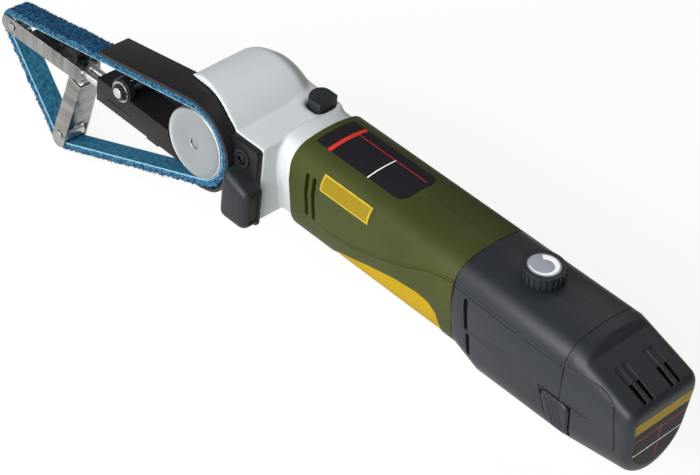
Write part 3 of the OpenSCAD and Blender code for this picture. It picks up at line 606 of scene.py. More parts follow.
def thumb_rest(piece):
    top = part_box("lock_button")[1][2]

    def on_top(face):
        return face.normal.z > 0.99 and face.center.z > top - 0.0001

    round_edges(piece, 0.4, 32)
    inset_faces(piece, on_top, DISH_RIM, DISH_DEPTH)
    for vert in piece.data.vertices:
        if vert.co.z > top - 0.0025:
            lean = (vert.co.y - at(0, BUTTON_FAR, 0)[1]) / ((BUTTON_NEAR - BUTTON_FAR) / 1000)
            vert.co.z -= (BUTTON_LOWER + BUTTON_LEAN * lean) / 1000


dressed["lock_button"] = dress("lock_button", BLACK, 0, shape=thumb_rest)
print("button faces", len(dressed["lock_button"].data.polygons))

# %% [markdown]
# ## Hand guard
# The stop block behind the belt is moulded with a generous radius on its outer side, and its end
# face is sunk inside a narrow rim. A cube is scaled, leaned, rounded and inset by hand. What it has
# in common with the CAD copy keeps the screw's hole and the round cut for the belt guard.

# %% Hand guard with a soft outer side
guard_low, guard_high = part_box("hand_guard")
PLATE_THICK, PLATE_SEAT, BLOCK_FALL = 0.003, 0.0011, 0.005
BLOCK_FRONT, BLOCK_Z = -22, (-20.4, 4.6)
BLOCK_ROUND, END_RIM, END_SINK = 4.0, 1.0, -0.9


def soft_block(piece):
    margin = 0.004
    plate_y = guard_low[1] + PLATE_THICK
    block_low = (guard_low[0], plate_y - margin, at(0, 0, BLOCK_Z[0])[2])
    block_high = (at(BLOCK_FRONT, 0, 0)[0], guard_high[1], at(0, 0, BLOCK_Z[1])[2])
    block = box_between(block_low, block_high)
    for vert in block.data.vertices:
        if vert.co.z > DATUM.z and vert.co.x < at(-30, 0, 0)[0]:
            vert.co.z -= BLOCK_FALL
    round_edges(block, BLOCK_ROUND, 32, None, 6)
    inset_faces(block, lambda face: face.normal.x < -0.98, END_RIM, END_SINK)
    plate_high = (guard_high[0] + margin, plate_y + PLATE_SEAT, guard_high[2] + margin)
    plate = box_between([c - margin for c in guard_low], plate_high)
    combine(block, plate, "UNION")
    combine(piece, block, "INTERSECT")


hand_guard = dress("hand_guard", BLACK, 0.25, shape=soft_block)
# Painted shade: the plate's faces, in the shade of the block and belt, and the sunk end face get the darker
# coated-steel finish.
hand_guard.data.materials.append(COATED)
for face in hand_guard.data.polygons:
    if face.center.y < guard_low[1] + PLATE_THICK + 0.0004 or face.normal.x < -0.9:
        face.material_index = 1
dressed["hand_guard"] = hand_guard
print("hand guard faces", len(hand_guard.data.polygons))

# %% [markdown]
# ## Drive pulley
# The pulley is turned from aluminium bar. As on a lathe, one circle is extruded and scaled from
# station to station. A map that runs round the axis lets the finish glint in two cones, as fine
# turning marks do.

# %% Turn the pulley
SPINDLE_R, PULLEY_INNER_Y, PULLEY_TURNS = 3.53, 23.1, 128
pulley_stations = [
    (SPINDLE_R, 0.0), (15.3, 0.0), (15.8, 0.2), (16.0, 0.6), (16.0, 5.5), (16.0, 10.4),
    (15.9, 10.75), (15.6, 10.97), (15.3, 11.0), (15.0, 10.86), (12.5, 10.74), (10.0, 10.70),
    (7.5, 10.74), (5.0, 10.86), (3.2, 10.97), (2.6, 11.0), (2.4, 10.9), (2.4, 10.5),
    (SPINDLE_R, 10.45),
]


def lathe(name, stations, inner_y, turns):
    bpy.ops.object.select_all(action="DESELECT")
    first_r, first_h = stations[0]
    bpy.ops.mesh.primitive_circle_add(
        vertices=turns, radius=first_r / 1000,
        location=at(0, inner_y + first_h, 0), rotation=(math.pi / 2, 0, 0),
    )
    piece = bpy.context.active_object
    piece.name = name
    bpy.ops.object.transform_apply(location=True, rotation=True, scale=True)
    bpy.ops.object.mode_set(mode="EDIT")
    for (r, h), (next_r, next_h) in zip(stations, stations[1:] + stations[:1]):
        rise = {"value": (0, (next_h - h) / 1000, 0)}
        bpy.ops.mesh.extrude_edges_move(TRANSFORM_OT_translate=rise)
        grow = next_r / r
        bpy.ops.transform.resize(value=(grow, 1, grow), center_override=at(0, inner_y + next_h, 0))
    bpy.ops.mesh.select_all(action="SELECT")
    bpy.ops.mesh.remove_doubles(threshold=0.000005)
    bpy.ops.mesh.normals_make_consistent(inside=False)
    bpy.ops.object.mode_set(mode="OBJECT")
    return piece


def map_round(piece):
    mesh = piece.data
    turns = mesh.uv_layers.new(name="turning")
    for face in mesh.polygons:
        spots = [mesh.vertices[k].co - DATUM for k in face.vertices]
        angles = [math.atan2(spot.z, spot.x) / (2 * math.pi) for spot in spots]
        if max(angles) - min(angles) > 0.5:
            angles = [a + 1 if a < 0 else a for a in angles]
        for i, angle, spot in zip(face.loop_indices, angles, spots):
            turns.data[i].uv = (angle, math.hypot(spot.x, spot.z) * 10 + spot.y)


pulley = lathe("drive_pulley_turned", pulley_stations, PULLEY_INNER_Y, PULLEY_TURNS)
map_round(pulley)
smooth(pulley, 30)
settle(pulley, TURNED, body_of_node("drive_pulley"))
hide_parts("drive_pulley")
print("pulley faces", len(pulley.data.polygons))

# %% [markdown]
# ## Guard tail and fork web
# The belt guard is bent from sheet. Its tail runs on below the pulley and flares away from the
# belt. The fork's channel has a floor that reaches nearly to the front roller. Both are short
# strips of sheet, so each is a row of equal sections with a skin over them.

# %% A skin over sections
def loft(name, sections):
    mesh = bpy.data.meshes.new(name)
    skin = bmesh.new()
    rows = [[skin.verts.new(at(*spot)) for spot in section] for section in sections]
    for row, following in zip(rows, rows[1:]):
        for k in range(len(row)):
            m = (k + 1) % len(row)
            skin.faces.new((row[k], row[m], following[m], following[k]))
    skin.faces.new(rows[0])
    skin.faces.new(rows[-1])
    bmesh.ops.recalc_face_normals(skin, faces=skin.faces)
    skin.to_mesh(mesh)
    skin.free()
    return put(name, mesh)


def sheet_strip(name, sections, finish, body):
    strip = loft(name, sections)
    round_edges(strip, 0.25, 32)
    smooth(strip, 35)
    return settle(strip, finish, body)


GUARD_R, GUARD_SHEET, GUARD_BACK, TAIL_Y = 20.6, 1.6, 18.6, (35.0, 31.5)
TAIL_FROM, TAIL_TO, FLARE_FROM, FLARE = 206, 266, 248, 1.0


def tail_section(angle):
    share = (angle - TAIL_FROM) / (TAIL_TO - TAIL_FROM)
    inner = GUARD_R + FLARE * max(0.0, (angle - FLARE_FROM) / (TAIL_TO - FLARE_FROM)) ** 2
    near = part_way(*TAIL_Y, share)
    outer = inner + GUARD_SHEET
    corners = ((inner, GUARD_BACK), (inner, near), (outer, near), (outer, GUARD_BACK))
    return [round_axis(r, math.radians(angle), y) for r, y in corners]


tail_sections = [tail_section(angle) for angle in range(TAIL_FROM, TAIL_TO + 1, 4)]
guard_tail = sheet_strip("guard_tail", tail_sections, COATED, "body")
roller_x, roller_z = in_drawing("front_roller_spin")
WEB_FROM, WEB_TO, WEB_HALF, WEB_TAPER = -9.9, -4.3, 5.35, 1.2
WEB_LOW, WEB_HIGH, BELT_Y = -4.0, -3.0, 28.6


def web_section(share):
    x = roller_x + WEB_FROM + (WEB_TO - WEB_FROM) * share
    half = WEB_HALF - WEB_TAPER * max(0.0, share - 0.75) * 4
    corners = ((-half, WEB_LOW), (half, WEB_LOW), (half, WEB_HIGH), (-half, WEB_HIGH))
    return [(x, BELT_Y + y, roller_z + z) for y, z in corners]


web_sections = [web_section(i / 8) for i in range(9)]
fork_web = sheet_strip("fork_web", web_sections, SHEET_ARM, "fork")
print("sheet strips", guard_tail.name, fork_web.name)

# %% Finish the inner nodes
INNER = [
    (CAST, "bearing_plate"), (SCREW, "plate_screws", "arm_screws", "grip_screws"),
    (STEEL, "spindle_bearing_left", "spindle_bearing_right", "bevel_gear", "bevel_pinion"),
    (STEEL, "motor_shaft", "motor_can", "pinion_bearing", "tension_springs"),
    (STEEL, "paddle_pin", "paddle_spring", "lock_spring"),
    (BLACK, "cooling_fan", "microswitch", "speed_control"), (WHITE, "motor_end_cap"),
    (BOARD, "control_board"), (CELL, "battery_cells"), (BRASS, "battery_contacts"),
]
for node_finish, *names in INNER:
    for node_name in names:
        paint(nodes[node_name], node_finish)
    print("inner nodes", names)

# %% [markdown]
# ## Battery
# The battery is one soft moulding. A lip continues the housing, a scoop drops to a slope, and the
# tail narrows to a rounded end. Box modelling would leave hard corners, so the body's section is
# drawn at many stations, pressed under the slope with a soft minimum, and a skin is laid over it.
# Blocks then mill two pairs of air slots, and the stem that plugs into the housing is kept from
# the CAD copy.

# %% The body's section
BODY_TOP, CROWN_R, SHOULDER_R, HALF = 20.0, 60.0, 10.0, 21.0
BELLY_R, CREASE_Z, CROWN_HALF, SHOULDER_TOP = 18.5, 2.0, 13.2, 77.3
SHOULDER_Y = HALF - SHOULDER_R
CROWN_Z = BODY_TOP - CROWN_R
SHOULDER_Z = CROWN_Z + math.sqrt((CROWN_R - SHOULDER_R) ** 2 - SHOULDER_Y**2)


def crown(y):
    z = CROWN_Z + math.sqrt(CROWN_R**2 - y * y)
    return Vector((0, y, z)), Vector((0, y, CROWN_R)).normalized()


def shoulder(angle):
    normal = Vector((0, math.cos(angle), math.sin(angle)))
    return Vector((0, SHOULDER_Y, SHOULDER_Z)) + normal * SHOULDER_R, normal


# %% Stations along the battery
CASE_FRONT, LIP_END, SCOOP_END, TAIL = -192.3, -195.4, -201.0, -226.0
CASE_DROP, TAIL_RISE, TOP_FALL, WAIST, FOOT_Z = 35.99, 4.5, 9.0, 0.8, -10
SLOPE_X, SLOPE_Z, SLOPE, LIP_Z = -196.4, 17.6, 0.39, 24.5
SIDE_ROUND, TOP_ROUND, FOOT_ROUND, EDGE_SOFT = 4.5, 3.0, 4.0, 3.4


def soft_min(a, b, k):
    h = clamp(0.5 + 0.5 * (b - a) / k)
    return b * (1 - h) + a * h - k * h * (1 - h)


def scoop(x):
    slope = SLOPE_Z + (x - SLOPE_X) * SLOPE
    return part_way(slope, LIP_Z, 1 - ease((LIP_END - x) / (LIP_END - SCOOP_END)))


def rounding(x, radius):
    over = TAIL + radius - x
    return radius - math.sqrt(max(0.0, radius**2 - over**2)) if over > 0 else 0.0


def half_outline(top, drop):
    lower = top - BODY_TOP
    spots = [crown(CROWN_HALF * i / 12)[0] for i in range(12)]
    spots += [shoulder(math.radians(SHOULDER_TOP * (1 - i / 14)))[0] for i in range(15)]
    spots = [(spot.y, spot.z + lower) for spot in spots]
    crease = min(CREASE_Z, spots[-1][1] - 0.5)
    belly_z = BELLY_R - drop
    reach = math.hypot(HALF, crease - belly_z)
    touch = math.atan2(crease - belly_z, HALF) - math.acos(BELLY_R / reach)
    foot = (BELLY_R * math.cos(touch), belly_z + BELLY_R * math.sin(touch))
    run, fall = foot[0] - HALF, foot[1] - crease
    spots += [(HALF + run * i / 6, crease + fall * i / 6) for i in range(6)]
    turn = touch + math.pi / 2
    for angle in (touch - turn * i / 18 for i in range(19)):
        spots.append((BELLY_R * math.cos(angle), belly_z + BELLY_R * math.sin(angle)))
    return spots


def case_ring(x):
    t = clamp((LIP_END - x) / (LIP_END - TAIL))
    drop = CASE_DROP - TAIL_RISE * clamp((CASE_FRONT - x) / (CASE_FRONT - TAIL))
    narrow = (HALF - WAIST * t - rounding(x, SIDE_ROUND)) / HALF
    half = []
    for y, z in half_outline(BODY_TOP - TOP_FALL * t, drop):
        z = soft_min(z, scoop(x) - rounding(x, TOP_ROUND), EDGE_SOFT)
        z += rounding(x, FOOT_ROUND) * clamp((FOOT_Z - z) / (drop + FOOT_Z))
        half.append((x, y * narrow, z))
    return half + [(x, -y, z) for x, y, z in half[-2:0:-1]]


stations = [CASE_FRONT, -193.4, -194.4]
stations += [LIP_END - 0.35 * i for i in range(20)]
stations += [-202.6 - 1.1 * i for i in range(18)]
stations += [TAIL + SIDE_ROUND * (1 - math.sin(math.radians(9 * i))) for i in range(1, 11)]
print("stations", len(stations))

# %% Skin over the stations
case_shell = loft("battery_shell", [case_ring(x) for x in stations])
print("shell faces", len(case_shell.data.polygons))

# %% Slots in the slope
ABOVE = 60


def cast(piece, start, way):
    hit, spot, normal, face = piece.ray_cast(at(*start), Vector(way))
    return ((spot - DATUM) * 1000, normal) if hit else None


def mill(piece, start, end, width, depth):
    along = end - start
    way = along.normalized()
    rise = Vector((way.z, 0, -way.x))
    rise = rise if rise.z > 0 else -rise
    bpy.ops.object.select_all(action="DESELECT")
    bpy.ops.mesh.primitive_cube_add(size=1)
    block = bpy.context.active_object
    turn = Matrix((way, Vector((0, -1, 0)), rise)).transposed().to_4x4()
    size = Matrix.Diagonal((along.length / 1000, width / 1000, 2 * depth / 1000, 1))
    block.matrix_world = Matrix.Translation(at(*((start + end) / 2))) @ turn @ size
    bpy.ops.object.transform_apply(location=True, rotation=True, scale=True)
    # The walls of the deep slots get the near-black finish: painted shade inside the slots.
    for finish in (DARK, GAP_SHADE):
        block.data.materials.append(finish)
    faces = block.data.polygons
    faces.foreach_set("material_index", [1 if depth == SLOT_DEPTH else 0] * len(faces))
    combine(piece, block, "DIFFERENCE")


SLOT_PLACES, SLOT_X = (10.0, 6.0, -5.6, -9.6), (-208.0, -215.5, -223.6)
SLOT_WIDTH, SLOT_RAMP, SLOT_DEPTH = 1.9, 0.22, 1.5
paint(case_shell, DARK)
case_shell.data.materials.append(GAP_SHADE)
slot_spots = [
    [cast(case_shell, (x, slot_y, ABOVE), (0, 0, -1))[0] for x in SLOT_X] for slot_y in SLOT_PLACES
]
for upper, middle, lower in slot_spots:
    mill(case_shell, upper, middle, SLOT_WIDTH, SLOT_RAMP)
    mill(case_shell, part_way(middle, upper, 0.05), lower, SLOT_WIDTH - 0.1, SLOT_DEPTH)
print("slots", len(SLOT_PLACES))

# %% Room for the latches
PRESSES, PAD_END, ROOM_GROW = (0.0, 0.7, 1.4), -197.6, 1.03
for side, word in SIDES:
    for press in PRESSES:
        tool = copy_of("latch_" + word, "latch_room")
        slice_off(tool, at(PAD_END, 0, 0), (1, 0, 0), clear_inner=True)
        centre = sum((v.co for v in tool.data.vertices), Vector()) / len(tool.data.vertices)
        for vert in tool.data.vertices:
            away = vert.co - centre
            away = Vector((away.x * ROOM_GROW, away.y - side * press / 1000, away.z * ROOM_GROW))
            vert.co = centre + away
        combine(case_shell, tool, "DIFFERENCE")
print("latch rooms", 2 * len(PRESSES))

# %% Stem from the CAD copy, joined to the shell
STEM_OVERLAP = 0.4


def stem_only(piece):
    slice_off(piece, at(CASE_FRONT - STEM_OVERLAP, 0, 0), (1, 0, 0), clear_inner=True)


battery = dress("battery_case", DARK, 0.3, shape=stem_only)
select_only(battery)
case_shell.select_set(True)
bpy.ops.object.join()
smooth(battery, 38)
dressed["battery_case"] = battery
print("battery faces", len(battery.data.polygons))

# %% [markdown]
# ## The fleece belt
# A fleece belt is a woven backing with a lofty, springy pile of coated fibres. Its route is the
# same three circles as in the CAD drawing. A ring of cross sections runs along it, noise roughens
# the pile, and thousands of short loose fibres stand out of it. The backing stays smooth inside.

# %% Route of the belt
BELT_WIDTH, BELT_THICK, ROUTE_STEP = 10.0, 3.4, 0.5
wheels = [
    (0.0, 0.0, PULLEY_R + BACKING_LIFT),
    (*in_drawing("leg_roller_spin"), ROLLER_R + BACKING_LIFT),
    (*in_drawing("front_roller_spin"), ROLLER_R + BACKING_LIFT),
]


def on_wheel(wheel, angle):
    x, z, r = wheel
    return x + r * math.cos(angle), z + r * math.sin(angle)


def belt_route(step):
    route = []
    for i in range(3):
        a, b, c = wheels[i - 1], wheels[i], wheels[(i + 1) % 3]
        start = tangent_angle(a, b)
        turn = (tangent_angle(b, c) - start) % (2 * math.pi)
        bends = max(6, round(turn * b[2] / step))
        for angle in (start + turn * k / bends for k in range(bends)):
            route.append((*on_wheel(b, angle), angle))
        angle = start + turn
        (x0, z0), (x1, z1) = on_wheel(b, angle), on_wheel(c, angle)
        steps = max(2, round(math.hypot(x1 - x0, z1 - z0) / step))
        for t in (k / steps for k in range(steps)):
            route.append((part_way(x0, x1, t), part_way(z0, z1, t), angle))
    return route


route = belt_route(ROUTE_STEP)
print("belt stations", len(route))

# %% Pile and backing
SIDE_STEPS, TOP_CELLS, EDGE_W, FRAY_W = (0.2, 0.42, 0.66, 0.86), 13, 0.49, 0.42
PILE_SWING, PILE_SETTLE, FRAY_SWING, FRAY_SETTLE = 1.1, 0.3, 0.9, 0.2
profile = [(w, 0.0, 0.0) for w in (-0.5, -0.468, -0.40, -0.25, -0.08, 0.08, 0.25, 0.40, 0.468, 0.5)]
profile += [(0.5, h, 1.0) for h in SIDE_STEPS]
profile += [(0.5 - i / TOP_CELLS, 1.0, 1.0) for i in range(TOP_CELLS + 1)]
profile += [(-0.5, h, 1.0) for h in reversed(SIDE_STEPS)]


def rough(place, size, seed):
    return noise.noise(Vector(place) / size + Vector((seed, seed * 0.7, -seed)))


def pile_lump(spot):
    return 0.4 * rough(spot, 1.8, 3.1) + 0.75 * rough(spot, 0.7, 7.7)


def belt_point(station, w, h, pile):
    x, z, angle = station
    lift = h * BELT_THICK
    shift = w * BELT_WIDTH
    if pile:
        spot = (x + lift * math.cos(angle), shift, z + lift * math.sin(angle))
        lift += (pile_lump(spot) * PILE_SWING - PILE_SETTLE) * h
        if abs(w) > FRAY_W:
            fray = FRAY_SWING * rough(spot, 1.3, 1.3) - FRAY_SETTLE
            shift += math.copysign(fray, w) * (0.3 + 0.7 * h)
    return x + lift * math.cos(angle), BELT_Y + shift, z + lift * math.sin(angle)


belt_mesh = bpy.data.meshes.new("fleece_belt")
fleece = bmesh.new()
zone = fleece.verts.layers.float_color.new("zone")
rings = []
for station in route:
    ring = []
    for w, h, pile in profile:
        spot = belt_point(station, w, h, pile)
        vert = fleece.verts.new(at(*spot))
        # On the pile the edge mark is a painted highlight that lightens the belt's edges; on the backing it
        # marks the lighter cut edge.
        edge = 1.0 if abs(w) > EDGE_W else 0.35 * (abs(w) / EDGE_W) ** 2 if pile else 0.0
        # The depth mark follows the pile's lumps, so low places are painted darker: painted shade in the
        # hollows.
        depth = 0.5 + 0.9 * pile_lump((spot[0], spot[1] - BELT_Y, spot[2]))
        vert[zone] = (1.0 if h > 0.15 else 0.0, edge, clamp(depth), 1.0)
        ring.append(vert)
    rings.append(ring)
for i, ring in enumerate(rings):
    following = rings[(i + 1) % len(rings)]
    for k in range(len(profile)):
        m = (k + 1) % len(profile)
        fleece.faces.new((ring[k], ring[m], following[m], following[k]))
bmesh.ops.recalc_face_normals(fleece, faces=fleece.faces)
print("pile faces", len(fleece.faces))

# %% Loose fibres
dice = random.Random(11)
FIBRES, TOP_SHARE, FIBRE_LENGTH, FIBRE_THICK = 24000, 0.62, (0.35, 1.25), (0.03, 0.06)


def fibre(station, w, h, out):
    x, z, angle = station
    base = Vector(belt_point(station, w, h, 1.0))
    normal = Vector((math.cos(angle), 0, math.sin(angle)))
    along = Vector((-math.sin(angle), 0, math.cos(angle)))
    lean = Vector((0, 1, 0)) * math.copysign(out, w) + normal * (1.0 - 0.6 * out)
    lean += along * dice.uniform(-1.4, 1.4) + Vector((0, dice.uniform(-0.9, 0.9), 0))
    lean.normalize()
    curl = Vector([dice.uniform(-1, 1) for _ in range(3)])
    length = dice.uniform(*FIBRE_LENGTH)
    thick = dice.uniform(*FIBRE_THICK)
    side_way = lean.cross(curl).normalized() * thick
    middle = base + lean * length * 0.55
    tip = base + lean * length + curl * length * 0.35
    tone = dice.random()
    neck = side_way * 0.8
    made = []
    for spot in (base - side_way, base + side_way, middle + neck, middle - neck, tip):
        vert = fleece.verts.new(at(*spot))
        # Side fibres carry more of the edge's painted highlight.
        vert[zone] = (1.0, out * 0.5 + 0.3 * tone, 0.05 + 0.75 * tone, 1.0)
        made.append(vert)
    fleece.faces.new(made[:4])
    fleece.faces.new((made[3], made[2], made[4]))


for _ in range(FIBRES):
    spot = dice.choice(route)
    if dice.random() < TOP_SHARE:
        fibre(spot, dice.uniform(-0.5, 0.5), 1.0, 0.0)
    else:
        fibre(spot, dice.choice((-0.5, 0.5)), dice.uniform(0.35, 1.0), 0.8)
fleece.to_mesh(belt_mesh)
fleece.free()
belt = put("fleece_belt", belt_mesh)
print("belt faces", len(belt_mesh.polygons))

# %% Fleece finish
matt = {"Roughness": 0.92, "Specular IOR Level": 0.06}
fleece_finish, tree, bsdf = new_finish("blue_fleece", matt)
marks = add_node(tree, "ShaderNodeVertexColor", layer_name="zone")
zones = add_node(tree, "ShaderNodeSeparateColor")
wire(marks.outputs["Color"], zones.inputs["Color"])
on_pile, edge_line_and_highlight, pile_shade_mark = zones.outputs
tufts = object_noise(tree, 2100, 5)
metres = add_node(tree, "ShaderNodeTexCoord").outputs["Object"]
bends = add_node(tree, "ShaderNodeTexNoise", {"Scale": 900, "Detail": 2})
sway = {1: (0.0012, 0.0012, 0.0012)}
bent = add_node(tree, "ShaderNodeVectorMath", sway, operation="MULTIPLY_ADD")
strands = add_node(tree, "ShaderNodeTexVoronoi", {"Scale": 1150}, feature="DISTANCE_TO_EDGE")
wire(metres, bends.inputs["Vector"])
wire(bends.outputs["Color"], bent.inputs[0])
wire(metres, bent.inputs[2])
wire(bent.outputs["Vector"], strands.inputs["Vector"])
thin = {"From Min": 0.02, "From Max": 0.09, "To Min": 0.5, "To Max": 0.0}
strand_share = add_node(tree, "ShaderNodeMapRange", thin)
wire(strands.outputs["Distance"], strand_share.inputs["Value"])
pile_shade_and_tone = calc(tree, "MULTIPLY", calc(tree, "ADD", pile_shade_mark, tufts), 0.5)
# The pile is painted darker in its low places as painted shade, with random tufts on top, and lighter at its
# edges as a painted highlight.
pile_color = ramp(tree, pile_shade_and_tone, 0.36, 0.68, (0.0006, 0.006, 0.026), (0.011, 0.070, 0.172))
edge_highlight_color = ramp(tree, pile_shade_and_tone, 0.38, 0.68, (0.0015, 0.015, 0.045), (0.040, 0.140, 0.232))
strand_color = ramp(tree, tufts, 0.40, 0.66, (0.006, 0.050, 0.125), (0.150, 0.345, 0.460))
weave = object_noise(tree, 520, 6)
back_color = ramp(tree, weave, 0.32, 0.68, (0.009, 0.064, 0.112), (0.031, 0.142, 0.226))
line_color = ramp(tree, tufts, 0.3, 0.7, (0.16, 0.36, 0.45), (0.32, 0.52, 0.59))
pile_color = mix_color(tree, edge_line_and_highlight, pile_color, edge_highlight_color)
pile_color = mix_color(tree, strand_share.outputs["Result"], pile_color, strand_color)
back_color = mix_color(tree, edge_line_and_highlight, back_color, line_color)
wire(mix_color(tree, on_pile, back_color, pile_color), bsdf.inputs["Base Color"])
relief(tree, bsdf, tufts, 0.5, 0.0003)
paint(belt, fleece_finish)
belt.data.polygons.foreach_set("use_smooth", [True] * len(belt.data.polygons))
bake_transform(belt, "body", "fork", start=at(16, BELT_Y, 0), end=at(70, BELT_Y, 0))
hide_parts("abrasive_belt")
print("fleece nodes", len(tree.nodes))

# %% [markdown]
# ## Plates and badges
# The tool carries a black plate on its crown and a yellow badge on its shoulder. Both are thin
# sheets that follow the body's curve, with plain lines and borders.

# %% A thin plate on a curved surface
def thin_plate(name, place, finish, body, cells=(40, 16), lift=0.02, thick=0.25):
    bpy.ops.object.select_all(action="DESELECT")
    bpy.ops.mesh.primitive_grid_add(x_subdivisions=cells[0], y_subdivisions=cells[1], size=2)
    plate = bpy.context.active_object
    plate.name = name
    uv_layer = plate.data.uv_layers.active or plate.data.uv_layers.new(name="plate")
    flat = [(v.co.x / 2 + 0.5, v.co.y / 2 + 0.5) for v in plate.data.vertices]
    for loop in plate.data.loops:
        uv_layer.data[loop.index].uv = flat[loop.vertex_index]
    for vert, (u, v) in zip(plate.data.vertices, flat):
        spot, normal = place(u, v)
        vert.co = at(*(spot + normal * lift))
    with edit_mode(plate):
        bpy.ops.mesh.normals_make_consistent(inside=False)
    middle = plate.data.polygons[(cells[0] // 2) + (cells[1] // 2) * cells[0]]
    if middle.normal.dot(place(0.5, 0.5)[1]) < 0:
        plate.data.flip_normals()
    apply(plate, "SOLIDIFY", thickness=thick / 1000, offset=1)
    smooth(plate, 40)
    return settle(plate, finish, body)


def strip_on_body(x_range, s_range, surface, corner=0):
    length = abs(x_range[1] - x_range[0])
    width = (surface(s_range[1])[0] - surface(s_range[0])[0]).length

    def place(u, v):
        gap = (1 - u) * length
        if corner and gap < corner:
            cut = corner - math.sqrt(max(0.0, corner**2 - (corner - gap) ** 2))
            v = 0.5 + (v - 0.5) * (1 - 2 * cut / width)
        spot, normal = surface(part_way(*s_range, v))
        return Vector((part_way(*x_range, u), spot.y, spot.z)), normal

    return place


# %% Plate finishes
def between(tree, source, low, high):
    above = calc(tree, "GREATER_THAN", source, low)
    return calc(tree, "MULTIPLY", above, calc(tree, "LESS_THAN", source, high))


def lined_plate(name, ground, lines, roughness=0.36):
    finish, tree, bsdf = new_finish(name, {"Roughness": roughness, "Specular IOR Level": 0.06})
    axes = add_node(tree, "ShaderNodeSeparateXYZ")
    wire(add_node(tree, "ShaderNodeUVMap").outputs["UV"], axes.inputs["Vector"])
    u, v = axes.outputs["X"], axes.outputs["Y"]
    color = tint(tree, object_noise(tree, 300, 3), ground, (0.9, 1.1))
    for u_range, v_range, line_color in lines:
        inside = calc(tree, "MULTIPLY", between(tree, u, *u_range), between(tree, v, *v_range))
        color = mix_color(tree, inside, color, (*line_color, 1))
    wire(color, bsdf.inputs["Base Color"])
    relief(tree, bsdf, object_noise(tree, 2400, 2), 0.15, 0.00002)
    return finish


RED, PALE, GOLD = (0.50, 0.030, 0.022), (0.72, 0.72, 0.72), (0.245, 0.165, 0.010)
BADGE_RIM, BADGE_FIELD = (0.30, 0.228, 0.020), (0.185, 0.128, 0.007)
EVERYWHERE = (-1, 2)
RATING = lined_plate(
    "rating_plate_black", (0.012, 0.011, 0.014),
    [
        ((0.135, 0.175), EVERYWHERE, RED), ((0.175, 0.97), (0.245, 0.262), RED),
        ((0.60, 0.612), (0.26, 1.1), PALE),
    ],
)
BADGE = lined_plate("badge_yellow", BADGE_RIM, [((0.035, 0.965), (0.10, 0.90), BADGE_FIELD)])
RATING_X, RATING_Y, RATING_CORNER = (-46.2, -95), (-10.6, 10.6), 4
BADGE_X, BADGE_TURN = (-60.8, -88), (math.radians(-3), math.radians(41))
rating_place = strip_on_body(RATING_X, RATING_Y, crown, RATING_CORNER)
rating = thin_plate("rating_plate", rating_place, RATING, "body")
badge = thin_plate(
    "badge_plate", strip_on_body(BADGE_X, BADGE_TURN, shoulder), BADGE, "body",
    cells=(30, 14), thick=0.4,
)
print("plates", rating.name, badge.name)

# %% [markdown]
# ## Latches
# A springy latch on each side holds the battery. What shows of it is a raised thumb pad with a soft rim and
# three grooves, and its rear half is inside the case. A grid follows the body's side, and a height at each
# point gives the pad, the rim and the grooves. The gap round the rim and the grooves are painted black as
# painted shade.

# %% Latch pads
latch_low, latch_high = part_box("latch_left")
latch_top = (latch_high[2] - DATUM.z) * 1000
latch_foot = (latch_low[2] - DATUM.z) * 1000
LATCH_FRONT, LATCH_SLANT = -181.8, 6.0
PAD_PROUD, PAD_CORNER, PAD_SOFT, PAD_GAP, PAD_INSET, LATCH_WALL = 0.9, 3.2, 0.7, 0.3, 0.45, 0.8
PAD_GROOVES, GROOVE_HALF, GROOVE_DEPTH, GROOVE_MARGIN = (3.6, 6.1, 8.6), 0.65, 0.95, 1.2


def on_side(side, x, z, drop=CASE_DROP):
    outline = half_outline(BODY_TOP, drop)
    for (y0, z0), (y1, z1) in zip(outline, outline[1:]):
        if z1 <= z <= z0 and z0 - z1 > 1e-6:
            y = y0 + (y1 - y0) * (z0 - z) / (z0 - z1)
            normal = Vector((0, z0 - z1, y1 - y0)).normalized()
            return Vector((x, side * y, z)), Vector((0, side * normal.y, normal.z))


def pad_relief(behind, ahead, below, above):
    margins = (min(behind, ahead), min(below, above))
    inside = PAD_CORNER - math.hypot(*(max(0, PAD_CORNER - margin) for margin in margins))
    carve = sum(math.exp(-(((behind - place) / GROOVE_HALF) ** 2)) for place in PAD_GROOVES)
    carve *= ease((inside - GROOVE_MARGIN) / PAD_SOFT)
    height = PAD_PROUD * ease((inside - PAD_GAP) / PAD_SOFT) - GROOVE_DEPTH * carve
    return height, inside < PAD_GAP or carve > 0.45


def pad_spot(u, v):
    top, foot, rear = latch_top - PAD_INSET, latch_foot + PAD_INSET, PAD_END + PAD_INSET
    z = part_way(foot, top, v)
    front = LATCH_FRONT - PAD_INSET - LATCH_SLANT * (1 - v)
    x = part_way(front, rear, u)
    height, in_painted_shade = pad_relief(front - x, x - rear, top - z, z - foot)
    return x, z, height, in_painted_shade


def latch_place(side):
    def place(u, v):
        x, z, height, _ = pad_spot(u, v)
        spot, normal = on_side(side, x, z)
        return spot + normal * height, normal

    return place


for side, word in SIDES:
    node_name = "latch_" + word
    pad = thin_plate(
        node_name + "_pad", latch_place(side), DARK, word + "_latch",
        cells=(72, 40), lift=-LATCH_WALL, thick=LATCH_WALL,
    )
    # Painted shade: the faces in the rim's gap and in the grooves get the near-black finish.
    pad.data.materials.append(GAP_SHADE)
    pad_map = pad.data.uv_layers.active.data
    for face in pad.data.polygons:
        u, v = sum((pad_map[i].uv for i in face.loop_indices), Vector((0, 0))) / face.loop_total
        face.material_index = 1 if pad_spot(u, v)[3] else 0
    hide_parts(node_name)
    dressed[node_name] = pad
print("latches", latch_top - latch_foot)

# %% [markdown]
# ## Shade behind the air slots
# A thin near-black sheet lies against the inside of the wall behind each group of slots, as painted shade
# that keeps the slots dark.

